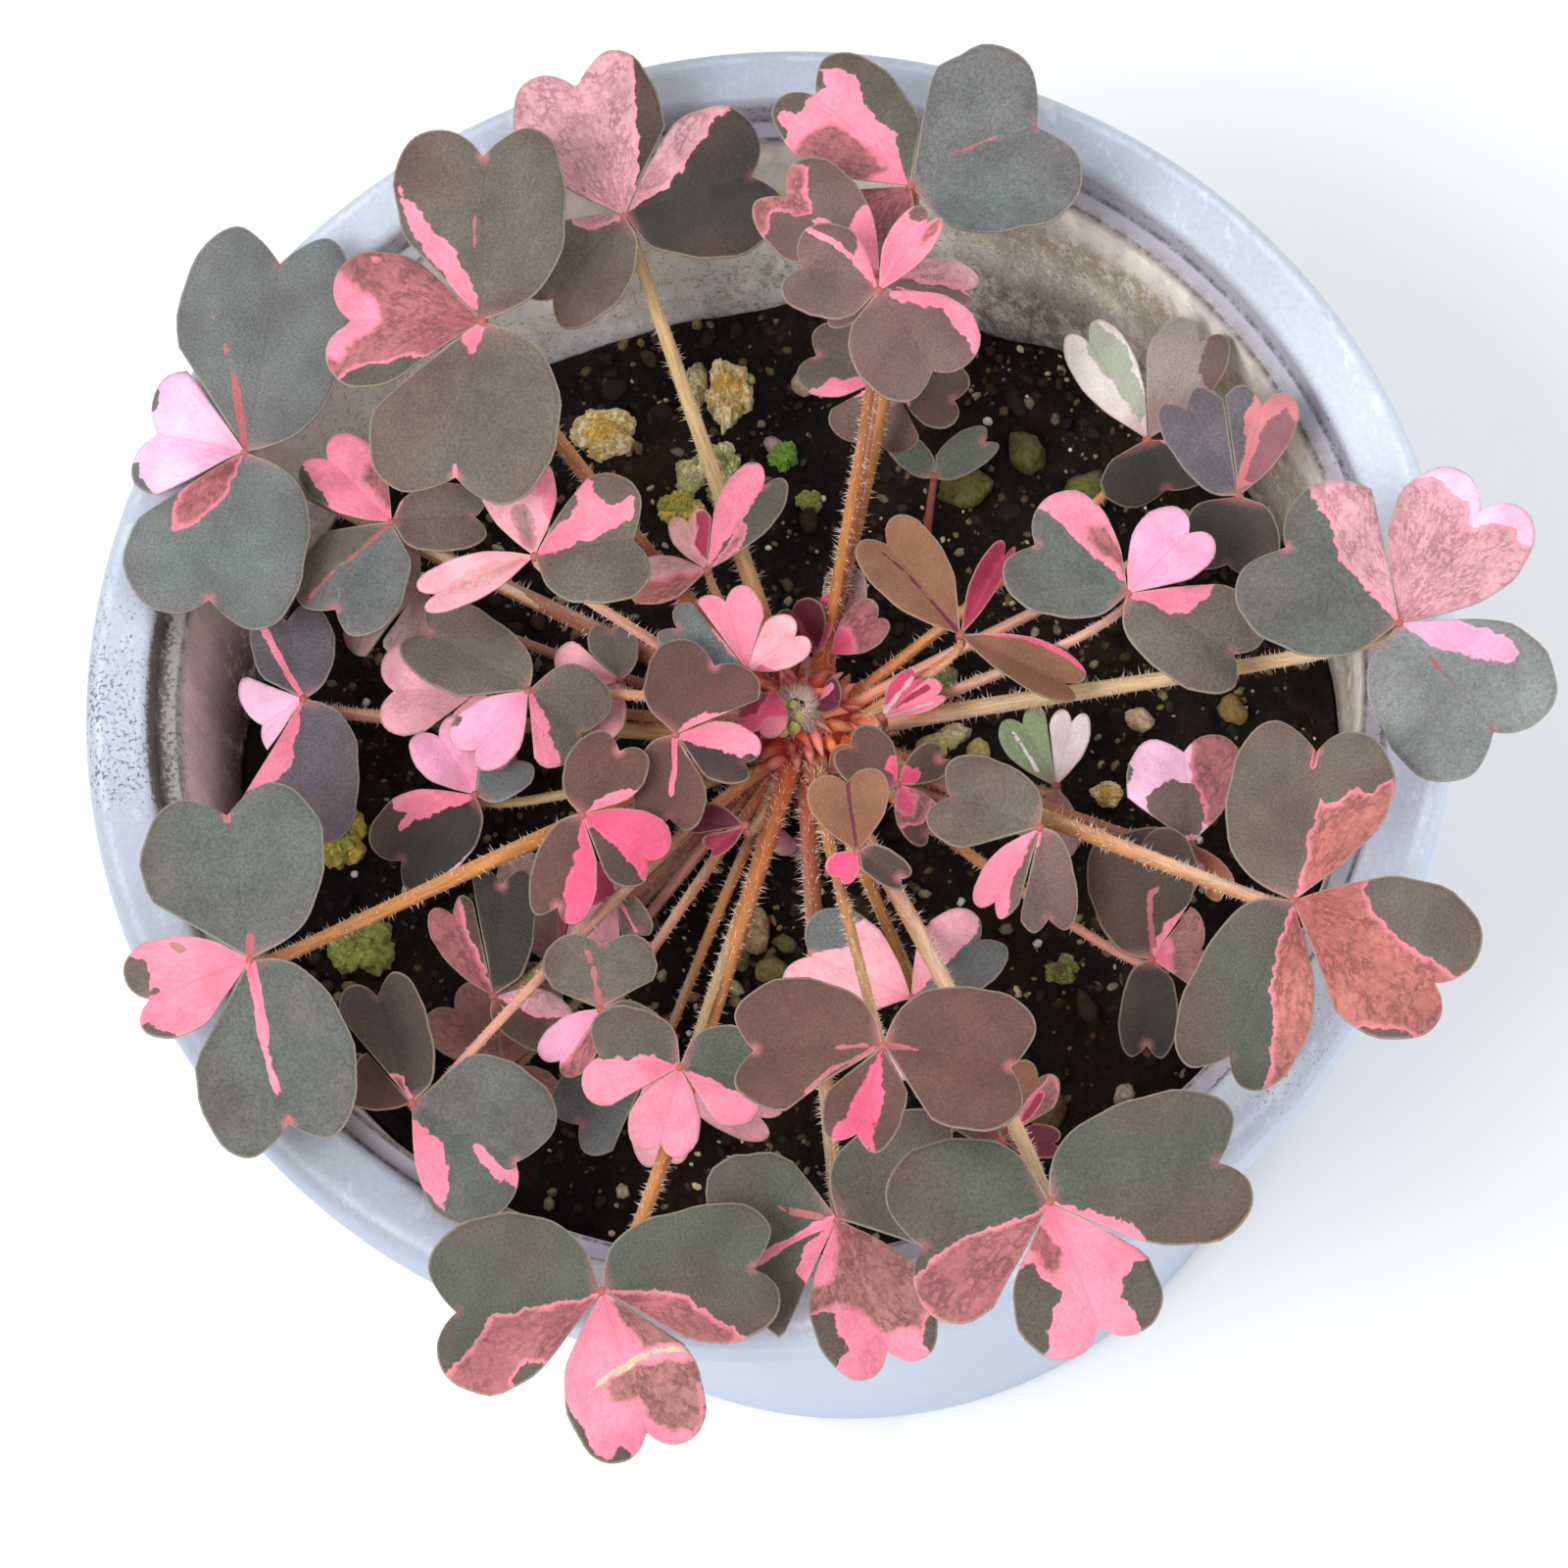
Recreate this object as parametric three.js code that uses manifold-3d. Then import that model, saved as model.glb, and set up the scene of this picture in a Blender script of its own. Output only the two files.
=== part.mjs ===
// Purple shamrock (Oxalis) in a round plastic pot. Millimetres, +Z up, the pot stands on z = 0.
import * as THREE from 'three';
import { mergeVertices } from 'three/addons/utils/BufferGeometryUtils.js';
import Module from 'manifold-3d';

const wasm = await Module();
wasm.setup();

// ---- driving dimensions -------------------------------------------------------------------------
const POT_HEIGHT = 100;
const RIM_RADIUS = 60;          // outside of the lip
const MOUTH_RADIUS = 51.6;      // inside of the wall just below the ledge
const FLOOR_RADIUS = 40.5;      // inside of the wall at the floor
const FLOOR_TOP = 3.6;
const WALL = 1.5;
const POT_SIDES = 36;
const DRAIN_HOLES = 8;
const DRAIN_RADIUS = 3.5;
const DRAIN_RING = 26;          // the drain holes sit on this radius
const FOOT_GAPS = 4;            // gaps in the foot ring that let water out

const SOIL_TOP = 74;            // height of the potting mix at the middle
const SOIL_SLOPE = 0.1;         // it falls to the back
const SOIL_DISH = 0.0022;       // and rises to both sides
const SOIL_ROUGHNESS = 1.1;
const SOIL_RADIUS = 48;         // about where the mix meets the wall
const SOIL_RINGS = 6;
const EDGE_SAG = 0.8;           // the mix has shrunk from the wall
const CLEARANCE = 0.3;          // between pieces that touch
const GRAINS = 26;

const CROWN = new THREE.Vector3(1.5, 2, SOIL_TOP);
const CROWN_RADIUS = 5.2;
const CROWN_HEIGHT = 11;
const BULB_DEPTH = 9;           // of the bulb below the surface
const CROWN_SCALES = 14;

const SEEDLING_STEM = 0.5;      // radius
const SEEDLING_DEPTH = 4;       // of its stem below the surface
const SEEDLING_LEAN = [-1, -3.5];   // from its leaves to its foot

const BLADE = 0.7;              // thickness of a leaflet
const HUB_RADIUS = 0.9;         // the bead where the leaflets meet
const ARCH = 0.035;             // how far a leaflet's tip hangs, as a share of its length

// Half of a heart-shaped leaflet: across (1 is half the width), along (1 is the full length), from the
// stalk round the lobe to the notch.
const HALF_HEART = [[0, 0], [0.42, 0.17], [0.9, 0.45], [1, 0.7], [0.72, 0.95], [0.36, 1], [0, 0.87]];
const SMALL_HALF_HEART = [[0, 0], [0.8, 0.37], [1, 0.7], [0.5, 1], [0, 0.87]];
const NOTCH = 0.87;

// Each leaf: name, colouring, x, y and z of its hub, then its leaflets as
// [heading, length, width, rise, fold]; angles in degrees, heading from +X, fold lifts both halves. A last
// number lifts the middle of its stalk over a neighbour.
const LEAVES = [
  ['leaf_01', 'green', -45.5, 21, 103,
    [[81, 20.5, 15.5, 4, 8], [164, 9.5, 12, -4, 12], [-104, 15.5, 16.5, -8, 8]]],
  ['leaf_02', 'green', -23, 27.5, 115,
    [[90, 17.5, 15.5, 4, 8], [175, 13.5, 12.5, -6, 10], [-100, 16, 16.5, -8, 8]]],
  ['leaf_03', 'pink', -11.5, 40, 108,
    [[109, 15, 13, 4, 12], [19, 13.5, 14.5, -4, 10], [-134, 11, 10, -10, 10]]],
  ['leaf_04', 'green', 14, 40, 112,
    [[133, 14, 11, 2, 12], [25, 14, 18, 2, 8], [-134, 7.5, 8, -14, 12]]],
  ['leaf_05', 'bronze', 12, 25.5, 123,
    [[159, 8, 8.5, 2, 10], [52, 8, 4, 12, 35], [-57, 9.5, 11, -12, 8]]],
  ['leaf_06', 'bronze', 11.5, 30, 116,
    [[136, 12.5, 9.5, 2, 10], [-12, 8.5, 4, -4, 40], [210, 6, 5, -14, 12]]],
  ['leaf_07', 'bronze', 10.5, 30.5, 92,
    [[160, 8, 7.5, -2, 12], [-20, 7, 6.5, -8, 12], [-108, 6.5, 8.5, -16, 12]]],
  ['leaf_08', 'pink', -33, 15.5, 99,
    [[134, 9.5, 7, 4, 12], [1, 8.5, 6.5, 2, 10], [-124, 10.5, 10, -8, 8]]],
  ['leaf_09', 'pink', -19.5, 9.5, 105,
    [[103, 9, 6.5, 6, 14], [199, 10.5, 4.5, -2, 20], [8, 10, 12.5, 2, 14]], 6],
  ['leaf_10', 'green', -21.5, 1.5, 93,
    [[148, 12, 8, 4, 8], [-133, 8, 6.5, -8, 14], [-39, 7, 9.5, -8, 16]], 9],
  ['leaf_11', 'pink', -26.5, -7, 90,
    [[121, 7.5, 6.5, 2, 14], [40, 5.5, 5.5, 2, 14], [-141, 10, 9, -8, 10]]],
  ['leaf_12', 'slate', -42, 2.5, 90,
    [[102, 8.5, 7.5, 4, 12], [-151, 5, 9, -8, 14], [-93, 13, 11.5, -8, 8]]],
  ['leaf_13', 'green', -42.5, -28.5, 111,
    [[100, 15, 15.5, 4, 8], [200, 10.5, 9, -2, 14], [-77, 16.5, 14, -8, 8]]],
  ['leaf_14', 'slate', -30, -38.5, 101,
    [[108, 11.5, 7.5, 4, 14], [152, 6, 5, -2, 16], [-31, 12, 14.5, -2, 10]], 9],
  ['leaf_15', 'pink', -6.5, -37.5, 106,
    [[171, 8, 9, 2, 14], [-14, 7.5, 9, 0, 14], [-106, 7.5, 6, -10, 12]]],
  ['leaf_16', 'green', -12, -59, 114,
    [[187, 14, 15, 0, 10], [7, 14.5, 12, 2, 8], [-73, 14, 11.5, -6, 8]]],
  ['leaf_17', 'green', 7, -52, 109,
    [[205, 9.5, 17, 0, 10], [26, 12, 12, 0, 10], [-70, 13.5, 10.5, -4, 10]]],
  ['leaf_18', 'green', 25.5, -55.5, 125,
    [[198, 12.5, 15, 0, 8], [12, 16, 13, 2, 8], [-70, 12.5, 12, -6, 8]], 9],
  ['leaf_19', 'bronze', 12.5, -43.5, 130,
    [[180, 12, 11, 0, 8], [-11, 12, 12, 0, 8], [-109, 8.5, 6.5, -16, 14]], 3],
  ['leaf_20', 'pink', 12.5, -29.5, 98,
    [[154, 11, 9.5, -2, 14], [41, 9, 7.5, 0, 14], [-84, 7, 6, -6, 12]]],
  ['leaf_21', 'green', 45.5, -28, 117,
    [[80, 15, 13.5, 4, 8], [-32, 15.5, 14, -2, 10], [-114, 16, 11, -8, 8]], 6],
  ['leaf_22', 'bronze', 33, -26, 96,
    [[95, 11.5, 9.5, 4, 10], [12, 5, 8, -2, 14], [-95, 8.5, 5, -10, 10]]],
  ['leaf_23', 'green', 55, -2, 112,
    [[143, 13.5, 16, 2, 8], [54, 14, 12, 4, 10], [-51, 14, 15.5, -6, 8]]],
  ['leaf_24', 'green', 32, 3, 108,
    [[149, 10.5, 11, 2, 14], [44, 8.5, 7, 6, 12], [-31, 12, 10, -6, 8]]],
  ['leaf_25', 'slate', 41.5, 14, 102,
    [[118, 10.5, 6.5, 4, 10], [75, 10, 7, 2, 16], [-101, 7, 8.5, -10, 10]]],
  ['leaf_26', 'pale', 33.5, 22, 96,
    [[118, 12, 5.5, 4, 12], [62, 11.5, 7, 2, 24], [-71, 5.5, 11, -10, 10]]],
  ['leaf_27', 'green', 24, -16.5, 104,
    [[158, 9.5, 8.5, 2, 8], [-123, 8.5, 4.5, -8, 16], [-86, 9, 5.5, -10, 14]]],
  ['leaf_28', 'pale', 36.5, -15, 94,
    [[93, 9.5, 10, 6, 12], [-58, 5.5, 3, -8, 16], [196, 9, 5.5, -10, 14]], 3],
  ['leaf_29', 'pale', 24.5, -6.5, 86,
    [[116, 7.5, 5, 2, 14], [76, 7, 4, 2, 14], [-92, 6.5, 4.5, -6, 14]]],
  ['leaf_30', 'bronze', 17, 3.5, 98,
    [[127, 12, 7, 6, 20], [60, 9, 2.5, 10, 60], [-26, 11.5, 4.5, -4, 30]]],
  ['leaf_31', 'bronze', -8, -4.5, 97,
    [[60, 8, 10.5, 4, 10], [-23, 7.5, 5.5, -4, 16], [-95, 8.5, 6.5, -8, 12]]],
  ['leaf_32', 'pink', -2, 2, 95,
    [[106, 7.5, 6, 6, 16], [34, 6, 5, 4, 16], [146, 8.5, 5.5, 2, 12]]],
  ['leaf_33', 'pink', -16, -12, 98,
    [[60, 7.5, 7, 4, 12], [-36, 8, 7, -6, 16], [-106, 9.5, 6, -8, 12]]],
  ['leaf_34', 'pink', -14, -16.5, 89,
    [[158, 4.5, 4.5, 2, 16], [-62, 4.5, 3.5, -4, 20], [-106, 5.5, 4, -8, 20]]],
  ['leaf_35', 'slate', -14.5, -29, 96,
    [[88, 6.5, 10, 4, 10], [-130, 6.5, 5, -8, 14], [-40, 7, 5.5, -8, 12]]],
  ['leaf_36', 'pink', -5.5, 11.5, 95,
    [[110, 5.5, 4, 6, 36], [56, 10.5, 5.5, 6, 14], [192, 7, 4.5, 0, 14]]],
  ['leaf_37', 'bronze', 8.5, -18.5, 105,
    [[98, 7, 7, 6, 20], [-126, 3, 3, -6, 50], [-34, 5, 3, -4, 40]]],
  ['leaf_38', 'slate', -24.5, -26, 91,
    [[116, 9.5, 5, 4, 16], [86, 11.5, 6.5, 4, 12], [-30, 7, 5.5, -6, 14]], 6],
  ['leaf_39', 'pale', -20, -21, 82,
    [[96, 11.5, 9.5, 4, 10], [60, 10.5, 5, 4, 14], [212, 7.5, 5, -4, 14]]],
  ['leaf_40', 'slate', -10.5, -32.5, 91,
    [[218, 9.5, 8.5, -4, 10], [-28, 12, 5.5, -2, 14], [-84, 9, 5, -8, 14]]],
  ['leaf_41', 'crimson', 11, -8, 92,
    [[140, 6, 5.5, 6, 20], [30, 5, 3.5, 4, 24], [-60, 6, 4, -4, 24]]],
  ['leaf_42', 'crimson', 20, -42, 97,
    [[58, 7, 5, 8, 20], [-4, 5, 3, -4, 24], [142, 6, 3.5, 0, 20]]],
  ['leaf_43', 'withered', -24.5, -30, 83,
    [[130, 8, 7.5, 6, 18], [70, 8.5, 6.5, 6, 18], [-40, 5.5, 4, -4, 22]]],
  ['leaf_44', 'pale', -26.5, 4, 87,
    [[180, 9, 9, 2, 12], [112, 8, 5.5, 4, 16], [-96, 7.5, 5.5, -4, 16]]],
  ['leaf_45', 'pale', -32.5, 14.5, 85,
    [[202, 8, 9.5, 0, 14], [-90, 6.5, 6.5, -4, 16], [134, 6, 5.5, 4, 16]]],
  ['leaf_46', 'pink', -14, 4, 88,
    [[-122, 5.5, 5.5, -4, 14], [174, 6, 6, 2, 14], [100, 5.5, 4.5, 4, 14]]],
  ['bud_1', 'crimson', 9.5, -1, 90,
    [[18, 6, 3, 10, 50], [50, 5, 2.5, 0, 50]]],
  ['bud_2', 'crimson', -2.5, -11, 91,
    [[176, 5, 3, 4, 50], [214, 4, 2.5, -4, 50]]],
  ['seedling', 'green', 13.5, 26, 79,
    [[134, 5.5, 3, 4, 14], [34, 6.5, 4, 4, 14]]],
];

// Colour and roughness of each kind of surface.
const SURFACES = {
  pot: ['#b9c0cf', 0.45],
  soil: ['#2b2320', 0.95],
  stalk: ['#a8653f', 0.6],
  green: ['#4f564f', 0.6],
  slate: ['#45454a', 0.6],
  bronze: ['#6a4c45', 0.6],
  pink: ['#d98a98', 0.6],
  pale: ['#d7b7bd', 0.6],
  crimson: ['#a82f55', 0.55],
  withered: ['#8d6b58', 0.8],
};

// ---- helpers ------------------------------------------------------------------------------------
const rad = THREE.MathUtils.degToRad;

// Seeded random numbers, 0 to 1, so that each run gives the same plant.
function randomFrom(seed) {
  let state = seed;
  return () => {
    state = (state * 1664525 + 1013904223) % 4294967296;
    return state / 4294967296;
  };
}

function toSolid(geometry) {
  const bare = new THREE.BufferGeometry();
  bare.setAttribute('position', geometry.getAttribute('position').clone());
  if (geometry.index) bare.setIndex(geometry.index.clone());
  const merged = mergeVertices(bare, 1e-4);
  return new wasm.Manifold(new wasm.Mesh({
    numProp: 3,
    vertProperties: new Float32Array(merged.getAttribute('position').array),
    triVerts: new Uint32Array(merged.index.array),
  }));
}

function toGeometry(solid) {
  const mesh = solid.getMesh();
  const geometry = new THREE.BufferGeometry();
  geometry.setAttribute('position', new THREE.BufferAttribute(mesh.vertProperties, 3));
  geometry.setIndex(new THREE.BufferAttribute(mesh.triVerts, 1));
  geometry.computeVertexNormals();
  return geometry;
}

function fuse(solids) {
  return solids.reduce((all, next) => all.add(next));
}

// A closed body from triangles that face out, each a list of three points.
function closedBody(triangles) {
  const full = triangles.filter(([a, b, c]) => !a.equals(b) && !b.equals(c) && !c.equals(a));
  return toSolid(new THREE.BufferGeometry().setFromPoints(full.flat()));
}

// A lathe about +Z from [radius, height] pairs that run counter-clockwise in the r-z plane.
function turned(profile, sides = POT_SIDES) {
  const points = profile.map(([r, z]) => new THREE.Vector2(r, z));
  return toSolid(new THREE.LatheGeometry(points, sides).rotateX(Math.PI / 2));
}

function cylinder(radius, bottom, top, sides, x = 0, y = 0) {
  const geometry = new THREE.CylinderGeometry(radius, radius, top - bottom, sides);
  return toSolid(geometry.rotateX(Math.PI / 2).translate(x, y, (top + bottom) / 2));
}

// Triangles between two rings of as many points.
function band(lower, upper) {
  return lower.flatMap((point, k) => {
    const next = (k + 1) % lower.length;
    return [[point, lower[next], upper[next]], [point, upper[next], upper[k]]];
  });
}

// A round rod through the given points, with a radius at each of them.
function rod(path, radii, sides) {
  const across = new THREE.Vector3(0.3, 0.9, 0.1);
  const rings = path.map((point, i) => {
    const ahead = path[Math.min(i + 1, path.length - 1)].clone().sub(path[Math.max(i - 1, 0)]).normalize();
    across.addScaledVector(ahead, -across.dot(ahead)).normalize();
    const third = new THREE.Vector3().crossVectors(ahead, across);
    return Array.from({ length: sides }, (_, k) => point.clone()
      .addScaledVector(across, radii[i] * Math.cos((2 * Math.PI * k) / sides))
      .addScaledVector(third, radii[i] * Math.sin((2 * Math.PI * k) / sides)));
  });
  const [first, last] = [rings[0], rings.at(-1)];
  const triangles = rings.slice(1).flatMap((next, i) => band(rings[i], next));
  for (let k = 1; k + 1 < sides; k++)
    triangles.push([first[0], first[k + 1], first[k]], [last[0], last[k], last[k + 1]]);
  return closedBody(triangles);
}

// ---- pot ----------------------------------------------------------------------------------------
function pot() {
  const top = POT_HEIGHT;
  const shell = turned([
    [0, 0], [14, 0], [15.5, 2], [35.5, 2], [37, 0], [FLOOR_RADIUS + 1, 0], [FLOOR_RADIUS + WALL, 1],
    [MOUTH_RADIUS + WALL - 0.2, top - 5], [RIM_RADIUS - 4.6, top - 4.8], [RIM_RADIUS - 4.4, top - 1.8],
    [RIM_RADIUS - 2, top - 1.8], [RIM_RADIUS - 1.7, top - 8.5], [RIM_RADIUS - 0.4, top - 8.5],
    [RIM_RADIUS, top - 2.2], [RIM_RADIUS - 0.4, top - 0.9], [RIM_RADIUS - 1.2, top - 0.2],
    [RIM_RADIUS - 2.2, top], [RIM_RADIUS - 5.2, top], [RIM_RADIUS - 5.9, top - 0.7],
    [RIM_RADIUS - 6.1, top - 3], [MOUTH_RADIUS + 0.3, top - 3.2], [MOUTH_RADIUS, top - 4],
    [FLOOR_RADIUS, FLOOR_TOP], [0, FLOOR_TOP],
  ]);
  const cuts = [];
  for (let i = 0; i < DRAIN_HOLES; i++) {
    const turn = (2 * Math.PI * (i + 0.5)) / DRAIN_HOLES;
    const [x, y] = [DRAIN_RING * Math.cos(turn), DRAIN_RING * Math.sin(turn)];
    cuts.push(cylinder(DRAIN_RADIUS, 1, FLOOR_TOP + 1, 14, x, y));
  }
  for (let i = 0; i < FOOT_GAPS; i++) {
    const gap = new THREE.BoxGeometry(9, 9, 3).translate(39.5, 0, 0).rotateZ((2 * Math.PI * i) / FOOT_GAPS);
    cuts.push(toSolid(gap));
  }
  return shell.subtract(fuse(cuts));
}

// ---- potting mix --------------------------------------------------------------------------------
function wallRadius(z) {
  return FLOOR_RADIUS + ((MOUTH_RADIUS - FLOOR_RADIUS) * (z - FLOOR_TOP)) / (POT_HEIGHT - 4 - FLOOR_TOP);
}

function surfaceHeight(x, y) {
  const swell = Math.sin(x * 0.21 + 1) * Math.cos(y * 0.17 - 2) + 0.5 * Math.sin(x * 0.47 - y * 0.39);
  const rough = SOIL_ROUGHNESS * swell * Math.min(1, Math.hypot(x, y) / 25);
  return SOIL_TOP - SOIL_SLOPE * y + SOIL_DISH * x * x + rough;
}

function grain(x, y, radius, random) {
  const stone = new THREE.IcosahedronGeometry(radius, 0)
    .scale(0.8 + 0.5 * random(), 0.8 + 0.4 * random(), 0.6 + 0.3 * random())
    .rotateZ(6 * random()).rotateX(random())
    .translate(x, y, surfaceHeight(x, y));
  return toSolid(stone);
}

function soil() {
  const random = randomFrom(11);
  const bottom = FLOOR_TOP + CLEARANCE;
  const ring = (share, height) => Array.from({ length: POT_SIDES }, (_, k) => {
    const turn = (2 * Math.PI * k) / POT_SIDES + Math.PI / 2;
    const [east, north] = [Math.cos(turn), Math.sin(turn)];
    const level = share ? surfaceHeight(SOIL_RADIUS * east, SOIL_RADIUS * north) - EDGE_SAG : bottom;
    const radius = (share || 1) * (wallRadius(level) - CLEARANCE);
    const [x, y] = [radius * east, radius * north];
    return new THREE.Vector3(x, y, height(x, y));
  });
  const rings = [ring(0, () => bottom), ring(1, (x, y) => surfaceHeight(x, y) - EDGE_SAG)];
  for (let i = SOIL_RINGS - 1; i > 0; i--)
    rings.push(ring(i / SOIL_RINGS, (x, y) => surfaceHeight(x, y) + SOIL_ROUGHNESS * (random() - 0.5)));
  const triangles = rings.slice(1).flatMap((next, i) => band(rings[i], next));
  const [below, above] = [new THREE.Vector3(0, 0, bottom), new THREE.Vector3(0, 0, surfaceHeight(0, 0))];
  for (let k = 0; k < POT_SIDES; k++) {
    const next = (k + 1) % POT_SIDES;
    triangles.push([below, rings[0][next], rings[0][k]], [above, rings.at(-1)[k], rings.at(-1)[next]]);
  }
  const stones = [];
  while (stones.length < GRAINS) {
    const radius = (wallRadius(SOIL_TOP) - 4) * Math.sqrt(random());
    const turn = 2 * Math.PI * random();
    const [x, y] = [radius * Math.cos(turn), radius * Math.sin(turn)];
    if (Math.hypot(x - CROWN.x, y - CROWN.y) > CROWN_RADIUS + 4)
      stones.push(grain(x, y, 1.3 + 1.2 * random(), random));
  }
  const depth = SOIL_TOP - BULB_DEPTH - CLEARANCE;
  const hole = cylinder(CROWN_RADIUS + CLEARANCE, depth, SOIL_TOP + 9, 20, CROWN.x, CROWN.y);
  return fuse([closedBody(triangles), ...stones]).subtract(hole.add(seedlingHole()));
}

// The seedling stands on a stem of its own, in a hole of its own.
function seedlingFoot() {
  const [, , x, y] = LEAVES.find(([name]) => name === 'seedling');
  const [east, north] = [x + SEEDLING_LEAN[0], y + SEEDLING_LEAN[1]];
  return new THREE.Vector3(east, north, surfaceHeight(east, north) - SEEDLING_DEPTH);
}

function seedlingHole() {
  const foot = seedlingFoot();
  const radius = SEEDLING_STEM + CLEARANCE;
  return cylinder(radius, foot.z - CLEARANCE, foot.z + SEEDLING_DEPTH + 3, 8, foot.x, foot.y);
}

function seedlingStem(x, y, z) {
  const foot = seedlingFoot();
  const neck = foot.clone().setZ(foot.z + SEEDLING_DEPTH + 2);
  return rod([foot, neck, new THREE.Vector3(x, y, z)], [SEEDLING_STEM, SEEDLING_STEM, 0.4], 6);
}

// ---- crown and leaf stalks ----------------------------------------------------------------------
function crown() {
  const random = randomFrom(5);
  const body = new THREE.LatheGeometry([
    [0, -BULB_DEPTH], [3, -BULB_DEPTH + 0.6], [4.7, -6], [CROWN_RADIUS - 0.1, -3], [CROWN_RADIUS - 0.1, 3],
    [4.4, 6.5], [3, 9], [1.4, 10.6], [0, CROWN_HEIGHT],
  ].map(([r, z]) => new THREE.Vector2(r, z)), 12).rotateX(Math.PI / 2);
  const solids = [toSolid(body.translate(CROWN.x, CROWN.y, CROWN.z))];
  for (let i = 0; i < CROWN_SCALES; i++) {
    const turn = 2.4 * i;
    const out = new THREE.Vector3(Math.cos(turn), Math.sin(turn), 0);
    const root = CROWN.clone().addScaledVector(out, 2.5).setZ(SOIL_TOP + 4.5 + 4 * random());
    const tip = root.clone().addScaledVector(out, 2.6 + random()).setZ(root.z + 2.2 + 2 * random());
    solids.push(rod([root, tip], [1.1, 0.35], 5));
  }
  return fuse(solids);
}

// The stalk climbs from the crown and turns up to the hub of its leaf.
function stalk(hub, size, lift, random) {
  const flat = new THREE.Vector3(hub.x - CROWN.x, hub.y - CROWN.y, 0);
  const out = flat.clone().normalize();
  const side = new THREE.Vector3(-out.y, out.x, 0);
  const start = CROWN.clone().addScaledVector(out, 2.6 + 0.8 * random());
  start.z += 2 + 4.5 * random();
  const tip = hub.clone().setZ(hub.z - HUB_RADIUS - CLEARANCE);
  const end = tip.clone().setZ(tip.z - 0.8);
  const rise = end.z - start.z;
  const sway = 0.05 * flat.length() * (random() - 0.5);
  const bend = new THREE.CubicBezierCurve3(
    start,
    start.clone().addScaledVector(flat, 0.3).addScaledVector(side, sway).setZ(start.z + 0.34 * rise + lift),
    end.clone().addScaledVector(flat, -0.1).addScaledVector(side, sway)
      .setZ(end.z - 0.2 * rise - 2.2 + lift / 2),
    end,
  );
  const path = [...bend.getPoints(3), tip];
  return rod(path, path.map((p, i) => size * (1 - 0.1 * i)), 5);
}

function rosette() {
  const rooted = LEAVES.filter(([name]) => name !== 'seedling');
  const stalks = rooted.map(([, , x, y, z, leaflets, lift = 0], index) => {
    const longest = Math.max(...leaflets.map(([, length]) => length));
    const random = randomFrom(77777 * (index + 1));
    return stalk(new THREE.Vector3(x, y, z), longest > 12 ? 0.95 : 0.7, lift, random);
  });
  return fuse([crown(), ...stalks]);
}

// ---- leaves -------------------------------------------------------------------------------------
// Points of one leaflet in rows from the hub to the notch: left margin, midrib, right margin. The level is
// 1 for the upper face and -1 for the lower one. A margin keeps clear of the leaflet beside it.
function leafletRows(hub, [heading, length, width, rise, fold], gaps, outline, level) {
  const turn = rad(heading);
  const along = new THREE.Vector3(
    Math.cos(turn) * Math.cos(rad(rise)), Math.sin(turn) * Math.cos(rad(rise)), Math.sin(rad(rise)));
  const left = new THREE.Vector3(-Math.sin(turn), Math.cos(turn), 0);
  const up = new THREE.Vector3().crossVectors(along, left);
  const half = BLADE / 2 / Math.cos(rad(fold));
  const point = (across, y) => hub.clone()
    .addScaledVector(along, y * length)
    .addScaledVector(left, across)
    .addScaledVector(up, Math.abs(across) * Math.tan(rad(fold)) - ARCH * length * y * y + level * half);
  const limits = gaps.map((gap) => Math.tan(rad(Math.min(gap / 2 - 2, 75))) * length);
  const rows = outline.slice(1, -1).map(([x, y], i) => {
    const [l, r] = limits.map((limit) => Math.min((x * width) / 2, y * limit));
    return [point(l, y), point(0, (NOTCH * (i + 1)) / (outline.length - 1)), point(-r, y)];
  });
  const notch = point(0, NOTCH);
  return [...rows, [notch, notch, notch]];
}

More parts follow.
